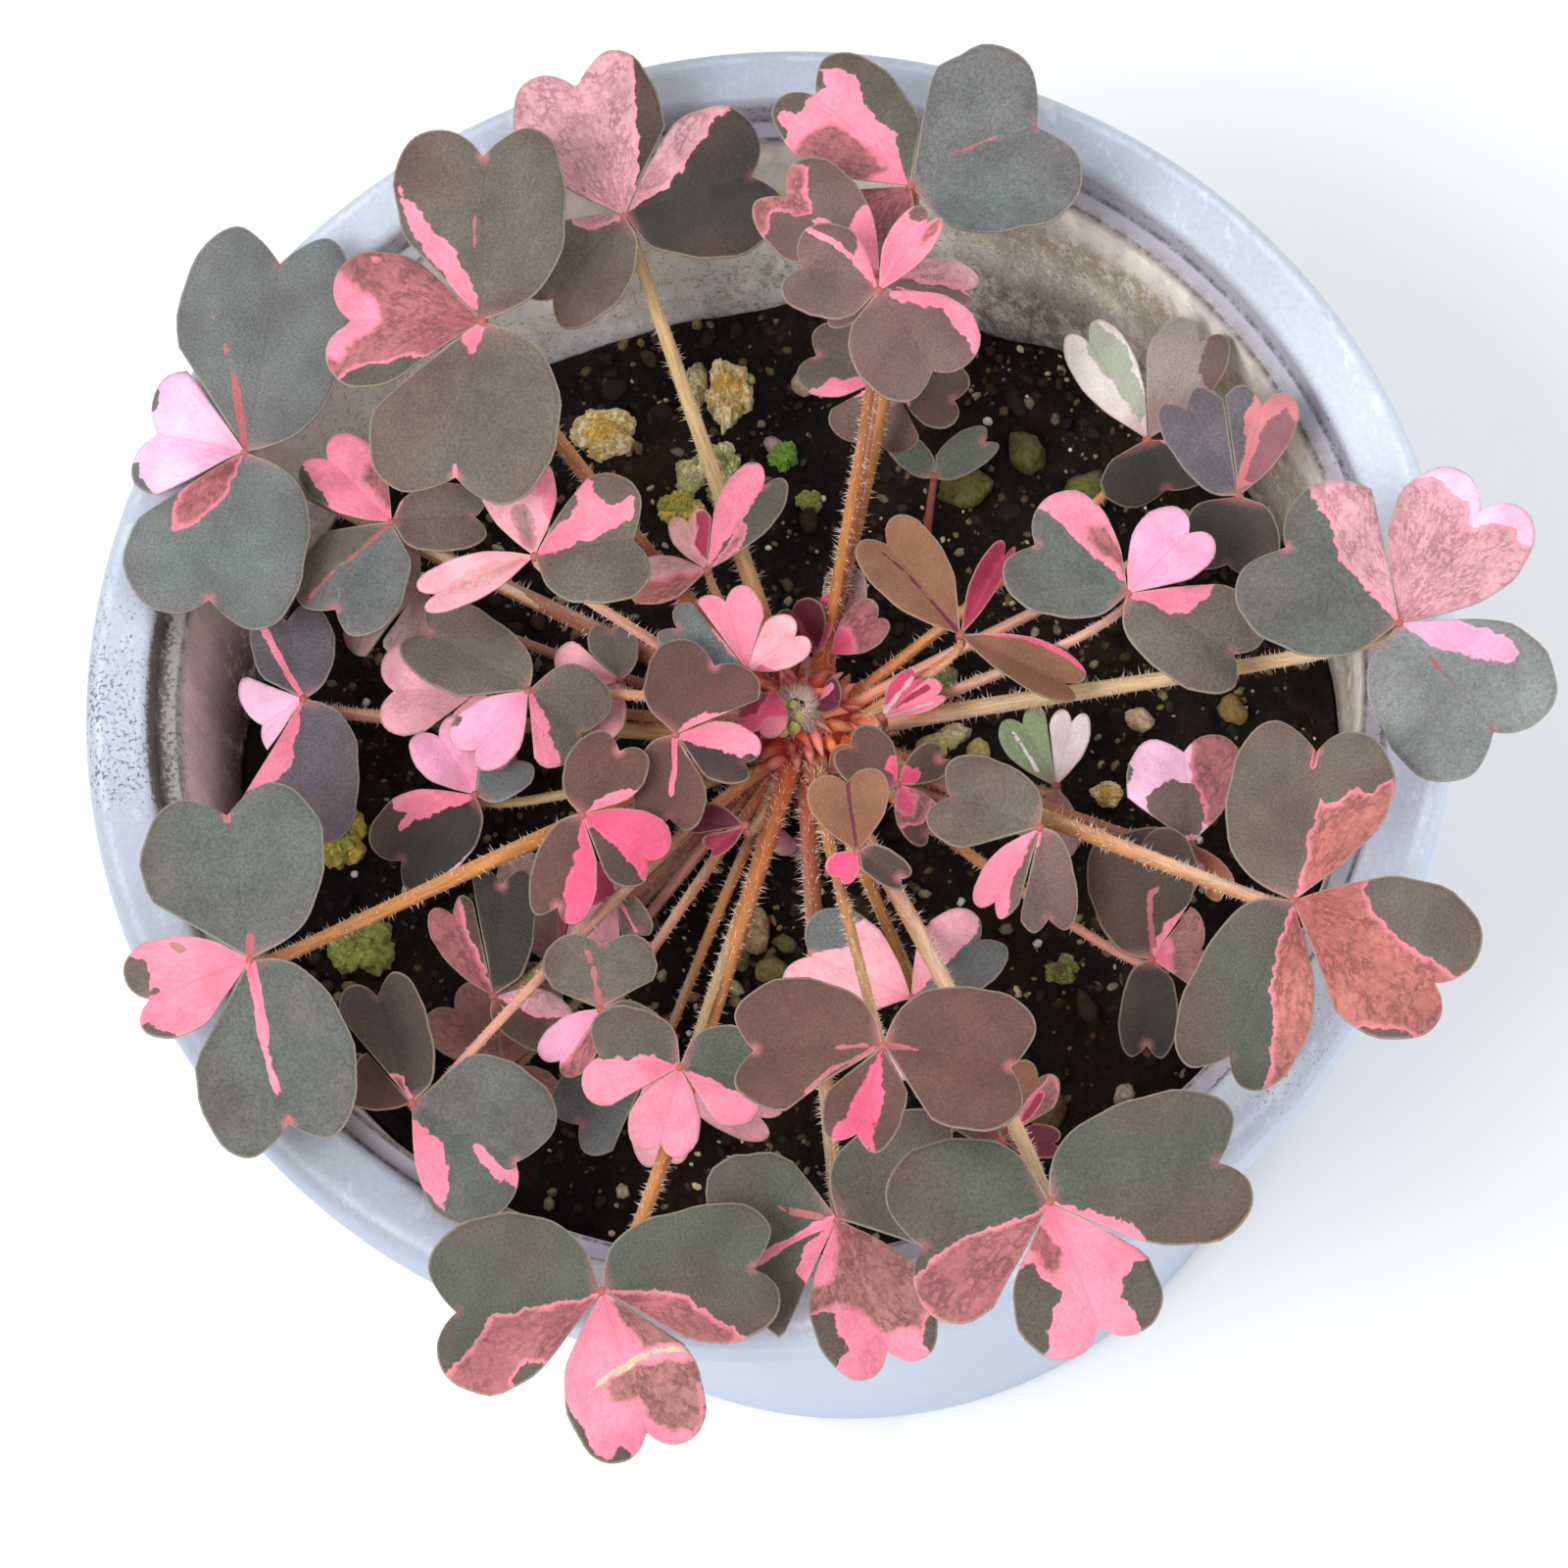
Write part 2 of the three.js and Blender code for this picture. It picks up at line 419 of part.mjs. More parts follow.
// A leaf is one closed body: a small hub with a leaflet on each side of it.
function leaf(x, y, z, leaflets) {
  const hub = new THREE.Vector3(x, y, z);
  const order = leaflets.toSorted((p, q) => p[0] - q[0]);
  const outline = order.some(([, length]) => length > 9.5) ? HALF_HEART : SMALL_HALF_HEART;
  const gaps = order.map(([heading], i) => (order[(i + 1) % order.length][0] - heading + 360) % 360);
  const triangles = [];
  const strip = (a, b, c, d) => triangles.push([a, b, c], [a, c, d]);
  const faces = [1, -1].map((level) => {
    const beside = (heading, radius) => new THREE.Vector3(
      x + radius * Math.cos(rad(heading)), y + radius * Math.sin(rad(heading)), z + (level * BLADE) / 2);
    const corners = order.map(([heading], i) => beside(heading + gaps[i] / 2, HUB_RADIUS));
    return order.map((shape, i) => {
      const before = (i + order.length - 1) % order.length;
      const start = [corners[i], beside(shape[0], HUB_RADIUS / 2), corners[before]];
      return [start, ...leafletRows(hub, shape, [gaps[i], gaps[before]], outline, level)];
    });
  });
  const middles = [1, -1].map((level) => new THREE.Vector3(x, y, z + level * HUB_RADIUS));
  faces[0].forEach((upper, i) => {
    const lower = faces[1][i];
    for (const [face, middle, flip] of [[upper, middles[0], false], [lower, middles[1], true]]) {
      const add = (a, b, c) => triangles.push(flip ? [c, b, a] : [a, b, c]);
      add(middle, face[0][1], face[0][0]);
      add(middle, face[0][2], face[0][1]);
      for (let row = 0; row + 1 < face.length; row++) {
        const [[l, m, r], [nextL, nextM, nextR]] = [face[row], face[row + 1]];
        add(m, nextM, nextL);
        add(m, nextL, l);
        add(m, nextR, nextM);
        add(m, r, nextR);
      }
    }
    for (let row = 0; row + 1 < upper.length; row++) {
      strip(upper[row][0], upper[row + 1][0], lower[row + 1][0], lower[row][0]);
      strip(upper[row + 1][2], upper[row][2], lower[row][2], lower[row + 1][2]);
    }
  });
  return closedBody(triangles);
}

// ---- assembly -----------------------------------------------------------------------------------
const plant = new THREE.Group();
plant.name = 'purple_shamrock';

function place(name, solid, surface) {
  const [color, roughness] = SURFACES[surface];
  const material = new THREE.MeshStandardMaterial({ color, roughness, metalness: 0 });
  const mesh = new THREE.Mesh(toGeometry(solid), material);
  mesh.name = name;
  plant.add(mesh);
}

place('pot', pot(), 'pot');
place('soil', soil(), 'soil');
place('rosette', rosette(), 'stalk');
for (const [name, colouring, x, y, z, leaflets] of LEAVES) {
  const blades = leaf(x, y, z, leaflets);
  place(name, name === 'seedling' ? blades.add(seedlingStem(x, y, z)) : blades, colouring);
}

export default plant;
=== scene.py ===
"""The looks of a purple shamrock in its pot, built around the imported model. Lengths are millimetres until
a piece is made, then metres. +Z is up and the pot stands on z = 0."""

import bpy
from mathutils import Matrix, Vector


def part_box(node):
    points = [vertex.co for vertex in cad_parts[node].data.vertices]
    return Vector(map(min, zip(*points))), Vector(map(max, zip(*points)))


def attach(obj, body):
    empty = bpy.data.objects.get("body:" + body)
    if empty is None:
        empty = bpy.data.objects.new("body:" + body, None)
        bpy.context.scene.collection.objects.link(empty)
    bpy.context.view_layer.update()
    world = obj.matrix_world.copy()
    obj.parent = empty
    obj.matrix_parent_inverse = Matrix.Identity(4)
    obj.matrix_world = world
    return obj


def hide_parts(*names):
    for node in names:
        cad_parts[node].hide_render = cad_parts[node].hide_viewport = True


bl_info = {
    "name": "Purple shamrock in its pot",
    "version": (1, 0, 0),
    "blender": (4, 5, 0),
    "location": "View3D > Sidebar > Shamrock",
    "description": "Builds the pot, the potting mix, the leaf stalks and the marked leaves",
    "category": "Add Mesh",
}

import math
from functools import partial
from types import SimpleNamespace

import bpy
import numpy as np
from mathutils import Matrix, Vector, noise

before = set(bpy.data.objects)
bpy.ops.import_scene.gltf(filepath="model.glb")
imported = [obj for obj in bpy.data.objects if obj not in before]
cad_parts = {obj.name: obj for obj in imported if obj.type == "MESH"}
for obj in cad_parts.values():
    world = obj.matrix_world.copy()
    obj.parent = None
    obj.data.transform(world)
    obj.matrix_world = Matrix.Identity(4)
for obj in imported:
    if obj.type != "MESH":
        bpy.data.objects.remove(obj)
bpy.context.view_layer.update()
MM = 0.001

# ---- the plant ----------------------------------------------------------------------------------
# Each leaf: name, material slot, x, y and z of its hub, its leaflets as (heading, length, width, rise,
# fold) in millimetres and degrees, and how far its stalk is lifted over a neighbour.
LEAVES = [
    ("leaf_01", "leaf_green", -45.5, 21, 103,
     [(81, 20.5, 15.5, 4, 8), (164, 9.5, 12, -4, 12), (-104, 15.5, 16.5, -8, 8)], 0),
    ("leaf_02", "leaf_green", -23, 27.5, 115,
     [(90, 17.5, 15.5, 4, 8), (175, 13.5, 12.5, -6, 10), (-100, 16, 16.5, -8, 8)], 0),
    ("leaf_03", "leaf_pink", -11.5, 40, 108,
     [(109, 15, 13, 4, 12), (19, 13.5, 14.5, -4, 10), (-134, 11, 10, -10, 10)], 0),
    ("leaf_04", "leaf_green", 14, 40, 112,
     [(133, 14, 11, 2, 12), (25, 14, 18, 2, 8), (-134, 7.5, 8, -14, 12)], 0),
    ("leaf_05", "leaf_bronze", 12, 25.5, 123,
     [(159, 8, 8.5, 2, 10), (52, 8, 4, 12, 35), (-57, 9.5, 11, -12, 8)], 0),
    ("leaf_06", "leaf_bronze", 11.5, 30, 116,
     [(136, 12.5, 9.5, 2, 10), (-12, 8.5, 4, -4, 40), (210, 6, 5, -14, 12)], 0),
    ("leaf_07", "leaf_bronze", 10.5, 30.5, 92,
     [(160, 8, 7.5, -2, 12), (-20, 7, 6.5, -8, 12), (-108, 6.5, 8.5, -16, 12)], 0),
    ("leaf_08", "leaf_pink", -33, 15.5, 99,
     [(134, 9.5, 7, 4, 12), (1, 8.5, 6.5, 2, 10), (-124, 10.5, 10, -8, 8)], 0),
    ("leaf_09", "leaf_pink", -19.5, 9.5, 105,
     [(103, 9, 6.5, 6, 14), (199, 10.5, 4.5, -2, 20), (8, 10, 12.5, 2, 14)], 6),
    ("leaf_10", "leaf_green", -21.5, 1.5, 93,
     [(148, 12, 8, 4, 8), (-133, 8, 6.5, -8, 14), (-39, 7, 9.5, -8, 16)], 9),
    ("leaf_11", "leaf_pink", -26.5, -7, 90,
     [(121, 7.5, 6.5, 2, 14), (40, 5.5, 5.5, 2, 14), (-141, 10, 9, -8, 10)], 0),
    ("leaf_12", "leaf_slate", -42, 2.5, 90,
     [(102, 8.5, 7.5, 4, 12), (-151, 5, 9, -8, 14), (-93, 13, 11.5, -8, 8)], 0),
    ("leaf_13", "leaf_green", -42.5, -28.5, 111,
     [(100, 15, 15.5, 4, 8), (200, 10.5, 9, -2, 14), (-77, 16.5, 14, -8, 8)], 0),
    ("leaf_14", "leaf_slate", -30, -38.5, 101,
     [(108, 11.5, 7.5, 4, 14), (152, 6, 5, -2, 16), (-31, 12, 14.5, -2, 10)], 9),
    ("leaf_15", "leaf_pink", -6.5, -37.5, 106,
     [(171, 8, 9, 2, 14), (-14, 7.5, 9, 0, 14), (-106, 7.5, 6, -10, 12)], 0),
    ("leaf_16", "leaf_green", -12, -59, 114,
     [(187, 14, 15, 0, 10), (7, 14.5, 12, 2, 8), (-73, 14, 11.5, -6, 8)], 0),
    ("leaf_17", "leaf_green", 7, -52, 109,
     [(205, 9.5, 17, 0, 10), (26, 12, 12, 0, 10), (-70, 13.5, 10.5, -4, 10)], 0),
    ("leaf_18", "leaf_green", 25.5, -55.5, 125,
     [(198, 12.5, 15, 0, 8), (12, 16, 13, 2, 8), (-70, 12.5, 12, -6, 8)], 9),
    ("leaf_19", "leaf_bronze", 12.5, -43.5, 130,
     [(180, 12, 11, 0, 8), (-11, 12, 12, 0, 8), (-109, 8.5, 6.5, -16, 14)], 3),
    ("leaf_20", "leaf_pink", 12.5, -29.5, 98,
     [(154, 11, 9.5, -2, 14), (41, 9, 7.5, 0, 14), (-84, 7, 6, -6, 12)], 0),
    ("leaf_21", "leaf_green", 45.5, -28, 117,
     [(80, 15, 13.5, 4, 8), (-32, 15.5, 14, -2, 10), (-114, 16, 11, -8, 8)], 6),
    ("leaf_22", "leaf_bronze", 33, -26, 96,
     [(95, 11.5, 9.5, 4, 10), (12, 5, 8, -2, 14), (-95, 8.5, 5, -10, 10)], 0),
    ("leaf_23", "leaf_green", 55, -2, 112,
     [(143, 13.5, 16, 2, 8), (54, 14, 12, 4, 10), (-51, 14, 15.5, -6, 8)], 0),
    ("leaf_24", "leaf_green", 32, 3, 108,
     [(149, 10.5, 11, 2, 14), (44, 8.5, 7, 6, 12), (-31, 12, 10, -6, 8)], 0),
    ("leaf_25", "leaf_slate", 41.5, 14, 102,
     [(118, 10.5, 6.5, 4, 10), (75, 10, 7, 2, 16), (-101, 7, 8.5, -10, 10)], 0),
    ("leaf_26", "leaf_pale", 33.5, 22, 96,
     [(118, 12, 5.5, 4, 12), (62, 11.5, 7, 2, 24), (-71, 5.5, 11, -10, 10)], 0),
    ("leaf_27", "leaf_green", 24, -16.5, 104,
     [(158, 9.5, 8.5, 2, 8), (-123, 8.5, 4.5, -8, 16), (-86, 9, 5.5, -10, 14)], 0),
    ("leaf_28", "leaf_pale", 36.5, -15, 94,
     [(93, 9.5, 10, 6, 12), (-58, 5.5, 3, -8, 16), (196, 9, 5.5, -10, 14)], 3),
    ("leaf_29", "leaf_pale", 24.5, -6.5, 86,
     [(116, 7.5, 5, 2, 14), (76, 7, 4, 2, 14), (-92, 6.5, 4.5, -6, 14)], 0),
    ("leaf_30", "leaf_bronze", 17, 3.5, 98,
     [(127, 12, 7, 6, 20), (60, 9, 2.5, 10, 60), (-26, 11.5, 4.5, -4, 30)], 0),
    ("leaf_31", "leaf_bronze", -8, -4.5, 97,
     [(60, 8, 10.5, 4, 10), (-23, 7.5, 5.5, -4, 16), (-95, 8.5, 6.5, -8, 12)], 0),
    ("leaf_32", "leaf_pink", -2, 2, 95,
     [(106, 7.5, 6, 6, 16), (34, 6, 5, 4, 16), (146, 8.5, 5.5, 2, 12)], 0),
    ("leaf_33", "leaf_pink", -16, -12, 98,
     [(60, 7.5, 7, 4, 12), (-36, 8, 7, -6, 16), (-106, 9.5, 6, -8, 12)], 0),
    ("leaf_34", "leaf_pink", -14, -16.5, 89,
     [(158, 4.5, 4.5, 2, 16), (-62, 4.5, 3.5, -4, 20), (-106, 5.5, 4, -8, 20)], 0),
    ("leaf_35", "leaf_slate", -14.5, -29, 96,
     [(88, 6.5, 10, 4, 10), (-130, 6.5, 5, -8, 14), (-40, 7, 5.5, -8, 12)], 0),
    ("leaf_36", "leaf_pink", -5.5, 11.5, 95,
     [(110, 5.5, 4, 6, 36), (56, 10.5, 5.5, 6, 14), (192, 7, 4.5, 0, 14)], 0),
    ("leaf_37", "leaf_bronze", 8.5, -18.5, 105,
     [(98, 7, 7, 6, 20), (-126, 3, 3, -6, 50), (-34, 5, 3, -4, 40)], 0),
    ("leaf_38", "leaf_slate", -24.5, -26, 91,
     [(116, 9.5, 5, 4, 16), (86, 11.5, 6.5, 4, 12), (-30, 7, 5.5, -6, 14)], 6),
    ("leaf_39", "leaf_pale", -20, -21, 82,
     [(96, 11.5, 9.5, 4, 10), (60, 10.5, 5, 4, 14), (212, 7.5, 5, -4, 14)], 0),
    ("leaf_40", "leaf_slate", -10.5, -32.5, 91,
     [(218, 9.5, 8.5, -4, 10), (-28, 12, 5.5, -2, 14), (-84, 9, 5, -8, 14)], 0),
    ("leaf_41", "leaf_crimson", 11, -8, 92,
     [(140, 6, 5.5, 6, 20), (30, 5, 3.5, 4, 24), (-60, 6, 4, -4, 24)], 0),
    ("leaf_42", "leaf_crimson", 20, -42, 97,
     [(58, 7, 5, 8, 20), (-4, 5, 3, -4, 24), (142, 6, 3.5, 0, 20)], 0),
    ("leaf_43", "leaf_withered", -24.5, -30, 83,
     [(130, 8, 7.5, 6, 18), (70, 8.5, 6.5, 6, 18), (-40, 5.5, 4, -4, 22)], 0),
    ("leaf_44", "leaf_pale", -26.5, 4, 87,
     [(180, 9, 9, 2, 12), (112, 8, 5.5, 4, 16), (-96, 7.5, 5.5, -4, 16)], 0),
    ("leaf_45", "leaf_pale", -32.5, 14.5, 85,
     [(202, 8, 9.5, 0, 14), (-90, 6.5, 6.5, -4, 16), (134, 6, 5.5, 4, 16)], 0),
    ("leaf_46", "leaf_pink", -14, 4, 88,
     [(-122, 5.5, 5.5, -4, 14), (174, 6, 6, 2, 14), (100, 5.5, 4.5, 4, 14)], 0),
    ("bud_1", "leaf_crimson", 9.5, -1, 90,
     [(18, 6, 3, 10, 50), (50, 5, 2.5, 0, 50)], 0),
    ("bud_2", "leaf_crimson", -2.5, -11, 91,
     [(176, 5, 3, 4, 50), (214, 4, 2.5, -4, 50)], 0),
    ("seedling", "leaf_green", 13.5, 26, 79,
     [(134, 5.5, 3, 4, 14), (34, 6.5, 4, 4, 14)], 0),
]
ARCH = 0.035            # how far a leaflet bends down to its tip, share of its length
NOTCH = 0.87            # how far the midrib reaches, share of the length
CROWN = np.array([1.5, 2, 74.0])
HUB_DROP = 1.2          # from the hub to the top of its stalk
STREAK_EXTRA = 0.07     # so a fine streak holds together
MARK_LAYERS = ("mark_a", "mark_b", "mark_c")

# Half of a leaflet's outline as (across, along): the green parts grow round at the base, the pink parts
# stay wedge-shaped.
ROUND_HALF = [(0, 0), (0.3, 0.03), (0.62, 0.11), (0.87, 0.28), (0.99, 0.52), (0.97, 0.74), (0.8, 0.92),
              (0.52, 1), (0.22, 0.95), (0, 0.87)]
WEDGE_HALF = [(0, 0), (0.22, 0.09), (0.5, 0.21), (0.8, 0.38), (0.96, 0.55), (1, 0.72), (0.9, 0.88),
              (0.68, 0.98), (0.38, 1), (0.15, 0.95), (0, 0.87)]
GREENISH = {"slate", "ash", "fog", "green", "olive", "dark", "bronze", "mauve", "plum", "moss", "umber"}

# The marks on each leaf, leaflet by leaflet: the tone of its ground, then (tone, half width, corners).
# Corners are percent of half the width to the left of the midrib and percent of the length. A half width
# of 0 means a patch with those corners, and any other a streak along them.
MARKINGS = {
    "leaf_01": [
        ("slate", ("rose", 3.6, [(2, 3), (12, 15), (22, 28)]), ("rose", 1.6, [(22, 28), (45, 48), (72, 62)])),
        ("pale", ("slate", 0, [(120, 56), (92, 72), (76, 88), (58, 95), (60, 115), (120, 115)]), ("slate", 0,
         [(-30, 97), (-44, 93), (-60, 96), (-66, 112), (-30, 112)]), ("slate", 2.5, [(-84, 86), (-88, 82)])),
        ("slate", ("rose", 0, [(0, 2), (-10, 30), (-30, 45), (-55, 57), (-60, 38), (-40, 12)])),
    ],
    "leaf_02": [
        ("olive", ("pink", 0, [(-3, 2), (14, 22), (30, 36), (58, 50), (93, 72), (97, 68), (74, 44), (48, 26),
         (12, 6)]), ("rose", 1.2, [(10, 36), (8, 54)])),
        ("rose", ("green", 0, [(120, 25), (55, 25), (66, 55), (78, 84), (120, 95)]), ("pink", 0, [(60, 90),
         (60, 115), (-70, 115), (-66, 96), (-46, 88), (-25, 74), (0, 68), (20, 78), (40, 90)]), ("green", 4,
         [(-84, 70), (-88, 74)])),
        ("olive", ("pink", 0, [(-8, 2), (-16, 12), (-6, 20), (4, 12), (4, 2)]), ("pink", 1.5, [(-3, 80),
         (0, 92)])),
    ],
    "leaf_03": [
        ("dust", ("dark", 0, [(-22, 5), (-46, 30), (-66, 60), (-82, 92), (-125, 95), (-110, 40)])),
        ("dark", ("dust", 0, [(4, 2), (10, 25), (30, 45), (55, 60), (80, 78), (92, 98), (118, 75), (105, 50),
         (50, 12)])),
        ("olive", ("dust", 0, [(0, 0), (-20, 22), (-50, 34), (-85, 25), (-50, 0)])),
    ],
    "leaf_04": [
        ("green", ("pink", 0, [(0, 2), (60, 8), (120, 45), (108, 74), (80, 80), (66, 92), (45, 84), (10, 88),
         (-20, 86), (-35, 98), (-55, 90), (-62, 76), (-50, 62), (-38, 55), (-38, 30)]), ("rose", 0, [(5, 15),
         (60, 20), (112, 46), (98, 66), (60, 70), (15, 66), (2, 45)])),
        ("slate", ("rose", 1.2, [(12, 30), (7, 50), (8, 68)])),
        ("rose",),
    ],
    "leaf_05": [
        ("mauve", ("pink", 0, [(0, 0), (-15, 22), (-50, 38), (-105, 42), (-60, 0)]), ("pink", 4, [(-38, 34),
         (-58, 58), (-75, 100)]), ("pink", 3, [(-58, 58), (-90, 70)])),
        ("pink", ("mauve", 0, [(10, 88), (30, 80), (80, 84), (90, 110), (20, 112)]), ("salmon", 0, [(-60, 60),
         (-20, 66), (0, 84), (-20, 110), (-90, 100)])),
        ("mauve", ("pink", 0, [(5, 5), (25, 25), (60, 48), (72, 75), (66, 100), (100, 108), (118, 60),
         (60, 10)])),
    ],
    "leaf_06": [
        ("mauve", ("rose", 0, [(112, 62), (95, 76), (40, 84), (10, 70), (-12, 62), (-30, 80), (-60, 92),
         (-40, 112), (100, 110)]), ("pink", 0, [(20, 0), (4, 30), (8, 62), (-6, 60), (-16, 38), (-60, 42),
         (-105, 35), (-60, -5)])),
        ("dust", ("mauve", 0, [(0, 4), (-2, 60), (0, 90), (-60, 110), (-120, 90), (-110, 20), (-50, 0)]),
         ("pink", 4, [(-60, 20), (-75, 60)])),
        ("mauve", ("pink", 0, [(50, -5), (45, 20), (0, 30), (-50, 28), (-100, 18), (-100, -5)])),
    ],
    "leaf_07": [
        ("olive", ("pink", 0, [(0, 0), (30, 38), (60, 62), (110, 78), (125, 55), (60, -5)])),
        ("umber", ("pink", 2.5, [(0, 2), (-30, 24), (-66, 36)])),
        ("mauve", ("pink", 0, [(0, 0), (-35, 30), (-80, 50), (-120, 55), (-60, -5)])),
    ],
    "leaf_08": [
        ("pink", ("green", 0, [(125, 38), (80, 50), (72, 80), (60, 102), (115, 105)]), ("rose", 0, [(-10, 10),
         (-15, 45), (-60, 60), (-90, 40), (-50, 0)])),
        ("olive", ("pink", 0, [(0, 0), (60, 14), (80, -5)])),
        ("slate", ("olive", 0, [(0, 0), (-20, 30), (-40, 60), (-50, 105), (-115, 105), (-115, 10)]), ("rose",
         1.6, [(0, 4), (-18, 35), (-38, 62), (-48, 92)])),
    ],
    "leaf_09": [
        ("petal", ("pink", 0, [(10, 62), (25, 75), (10, 105), (-50, 110), (-105, 85), (-105, 45), (-60, 20),
         (-52, 55), (-20, 62)]), ("fawn", 0, [(12, 8), (34, 26), (28, 52), (-12, 54), (-30, 34), (-12, 10)])),
        ("petal", ("blush", 0, [(-5, 10), (40, 30), (60, 60), (20, 80), (-40, 60), (-30, 30)])),
        ("olive", ("pink", 0, [(0, 2), (2, 30), (12, 60), (28, 90), (52, 92), (50, 72), (70, 60), (94, 62),
         (98, 45), (60, 46), (40, 35), (20, 10)])),
    ],
    "leaf_10": [
        ("olive",),
        ("candy", ("olive", 0, [(-78, 82), (-95, 88), (-105, 70), (-85, 66)])),
        ("olive", ("pink", 0, [(2, 2), (-18, 35), (-42, 58), (-66, 88), (-92, 100), (-120, 60), (-60, 0)])),
    ],
    "leaf_11": [
        ("candy",),
        ("slate", ("pink", 0, [(110, 105), (20, 105), (0, 60), (30, 45), (60, 25), (110, 50)])),
        ("dark", ("pink", 0, [(0, 3), (-15, 30), (-30, 50), (-45, 74), (-60, 60), (-85, 64), (-118, 50),
         (-60, 0)]), ("pale", 4, [(90, 30), (96, 60), (80, 90)])),
    ],
    "leaf_12": [
        ("plum", ("pink", 6, [(3, 5), (25, 30), (40, 55), (62, 92)])),
        ("pale", ("plum", 0, [(125, 20), (60, 25), (70, 60), (95, 95), (125, 100)])),
        ("plum", ("pink", 0, [(-2, 2), (-8, 30), (-18, 48), (-50, 62), (-92, 65), (-85, 30), (-40, 0)])),
    ],
    "leaf_13": [
        ("ash", ("rose", 3, [(0, 84), (0, 92)]), ("rose", 4, [(0, 3), (-4, 12)])),
        ("pink", ("olive", 0, [(120, 68), (85, 74), (72, 90), (45, 94), (60, 115), (115, 112)]), ("olive", 0,
         [(-5, 66), (-15, 86), (-40, 80), (-70, 80), (-84, 86), (-110, 105), (-60, 115), (0, 104), (-2, 84)]),
         ("brick", 6, [(-62, 48), (-78, 54)])),
        ("ash", ("pink", 5.5, [(0, 3), (-2, 25), (-6, 46)]), ("pink", 3, [(-6, 46), (-4, 70)]), ("rose", 3,
         [(2, 84), (0, 92)])),
    ],
    "leaf_14": [
        ("dark", ("brick", 0, [(-10, -3), (0, 20), (60, 32), (125, 30), (60, -3)])),
        # the middle leaflet is brick painted darker, a painted shade
        ("maroon",),
        ("ash", ("pink", 0, [(-15, 3), (-22, 30), (-40, 45), (-70, 60), (-100, 66), (-75, 28), (-40, 0)]),
         ("pink", 0, [(-2, 50), (-8, 62), (-14, 76), (-8, 92), (0, 100), (-30, 104), (-28, 80), (-16, 62)])),
    ],
    "leaf_15": [
        ("green", ("pink", 0, [(-6, 2), (-12, 30), (-3, 55), (2, 75), (10, 98), (60, 112), (118, 80),
         (112, 35), (50, 0)])),
        ("green", ("pink", 0, [(-2, 2), (-10, 35), (-25, 70), (-45, 110), (-115, 95), (-118, 35), (-40, 0)])),
        ("pink",),
    ],
    "leaf_16": [
        ("green", ("rose", 0, [(3, 3), (8, 35), (10, 68), (32, 74), (55, 86), (75, 100), (112, 85), (112, 40),
         (60, 5)]), ("green", 0, [(104, 52), (90, 60), (70, 47), (80, 36), (108, 38)])),
        ("green", ("rose", 0, [(-2, 3), (-12, 38), (-22, 46), (-48, 54), (-72, 66), (-98, 80), (-120, 62),
         (-75, 8)])),
        ("pink", ("brick", 0, [(118, 58), (108, 84), (70, 98), (38, 94), (14, 84), (0, 70), (-30, 66),
         (-36, 50), (20, 46), (60, 50)]), ("brick", 0, [(2, 8), (30, 42), (98, 46), (112, 36), (60, 0)]),
         ("straw", 3, [(100, 50), (60, 44), (20, 45), (-20, 49), (-60, 54), (-90, 60)]), ("green", 0,
         [(120, 66), (96, 72), (84, 92), (60, 104), (100, 112)]), ("green", 0, [(-120, 42), (-98, 48),
         (-94, 64), (-80, 74), (-78, 92), (-56, 98), (-40, 90), (-28, 104), (-60, 115), (-120, 100)])),
    ],
    "leaf_17": [
        ("green", ("pink", 4, [(0, 2), (-3, 40), (5, 88)]), ("rose", 2.5, [(-8, 12), (-32, 42)]), ("pink", 0,
         [(4, 3), (10, 30), (28, 52), (45, 50), (70, 40), (75, 15), (40, 0)])),
        ("green",),
        ("brick", ("pink", 0, [(75, 105), (48, 80), (10, 80), (-10, 70), (-24, 58), (-50, 52), (-72, 58),
         (-112, 60), (-105, 105)]), ("pink", 0, [(-8, 4), (-24, 22), (-44, 36), (-75, 34), (-75, 0)]),
         ("green", 0, [(-62, 54), (-58, 78), (-92, 90), (-115, 60), (-82, 50)]), ("green", 0, [(108, 74),
         (75, 76), (58, 92), (75, 112), (112, 104)])),
    ],
    "leaf_18": [
        ("green", ("rose", 0, [(3, 3), (6, 40), (10, 70), (20, 86), (42, 106), (112, 85), (112, 35),
         (60, 0)])),
        ("green", ("pink", 0, [(-2, 2), (-25, 18), (-60, 40), (-92, 44), (-75, 18), (-25, 0)])),
        ("pink", ("green", 0, [(120, 58), (82, 56), (54, 62), (46, 80), (54, 104), (115, 112)]), ("green", 0,
         [(-120, 32), (-95, 36), (-52, 34), (-44, 48), (-30, 58), (-60, 75), (-74, 92), (-115, 92)]), ("rose",
         0, [(-5, 32), (-30, 54), (-45, 36), (-60, 18), (-20, 8)])),
    ],
    "leaf_19": [
        ("bronze", ("rose", 2.5, [(5, 5), (40, 35), (75, 52)]), ("rose", 2.5, [(0, 12), (2, 30)])),
        ("bronze", ("rose", 2.5, [(0, 5), (2, 24)])),
        ("bronze", ("hot", 0, [(0, 3), (15, 20), (34, 45), (45, 80), (62, 104), (20, 95), (0, 88), (-30, 106),
         (-62, 95), (-40, 75), (-28, 50), (-18, 20)])),
    ],
    "leaf_20": [
        ("petal", ("slate", 0, [(-20, 74), (-40, 62), (-70, 68), (-120, 50), (-115, 115), (-10, 115),
         (12, 94), (-8, 86)])),
        ("slate", ("petal", 0, [(0, 5), (8, 45), (8, 70), (22, 95), (60, 112), (118, 75), (112, 25),
         (50, 0)])),
        ("petal",),
    ],
    "leaf_21": [
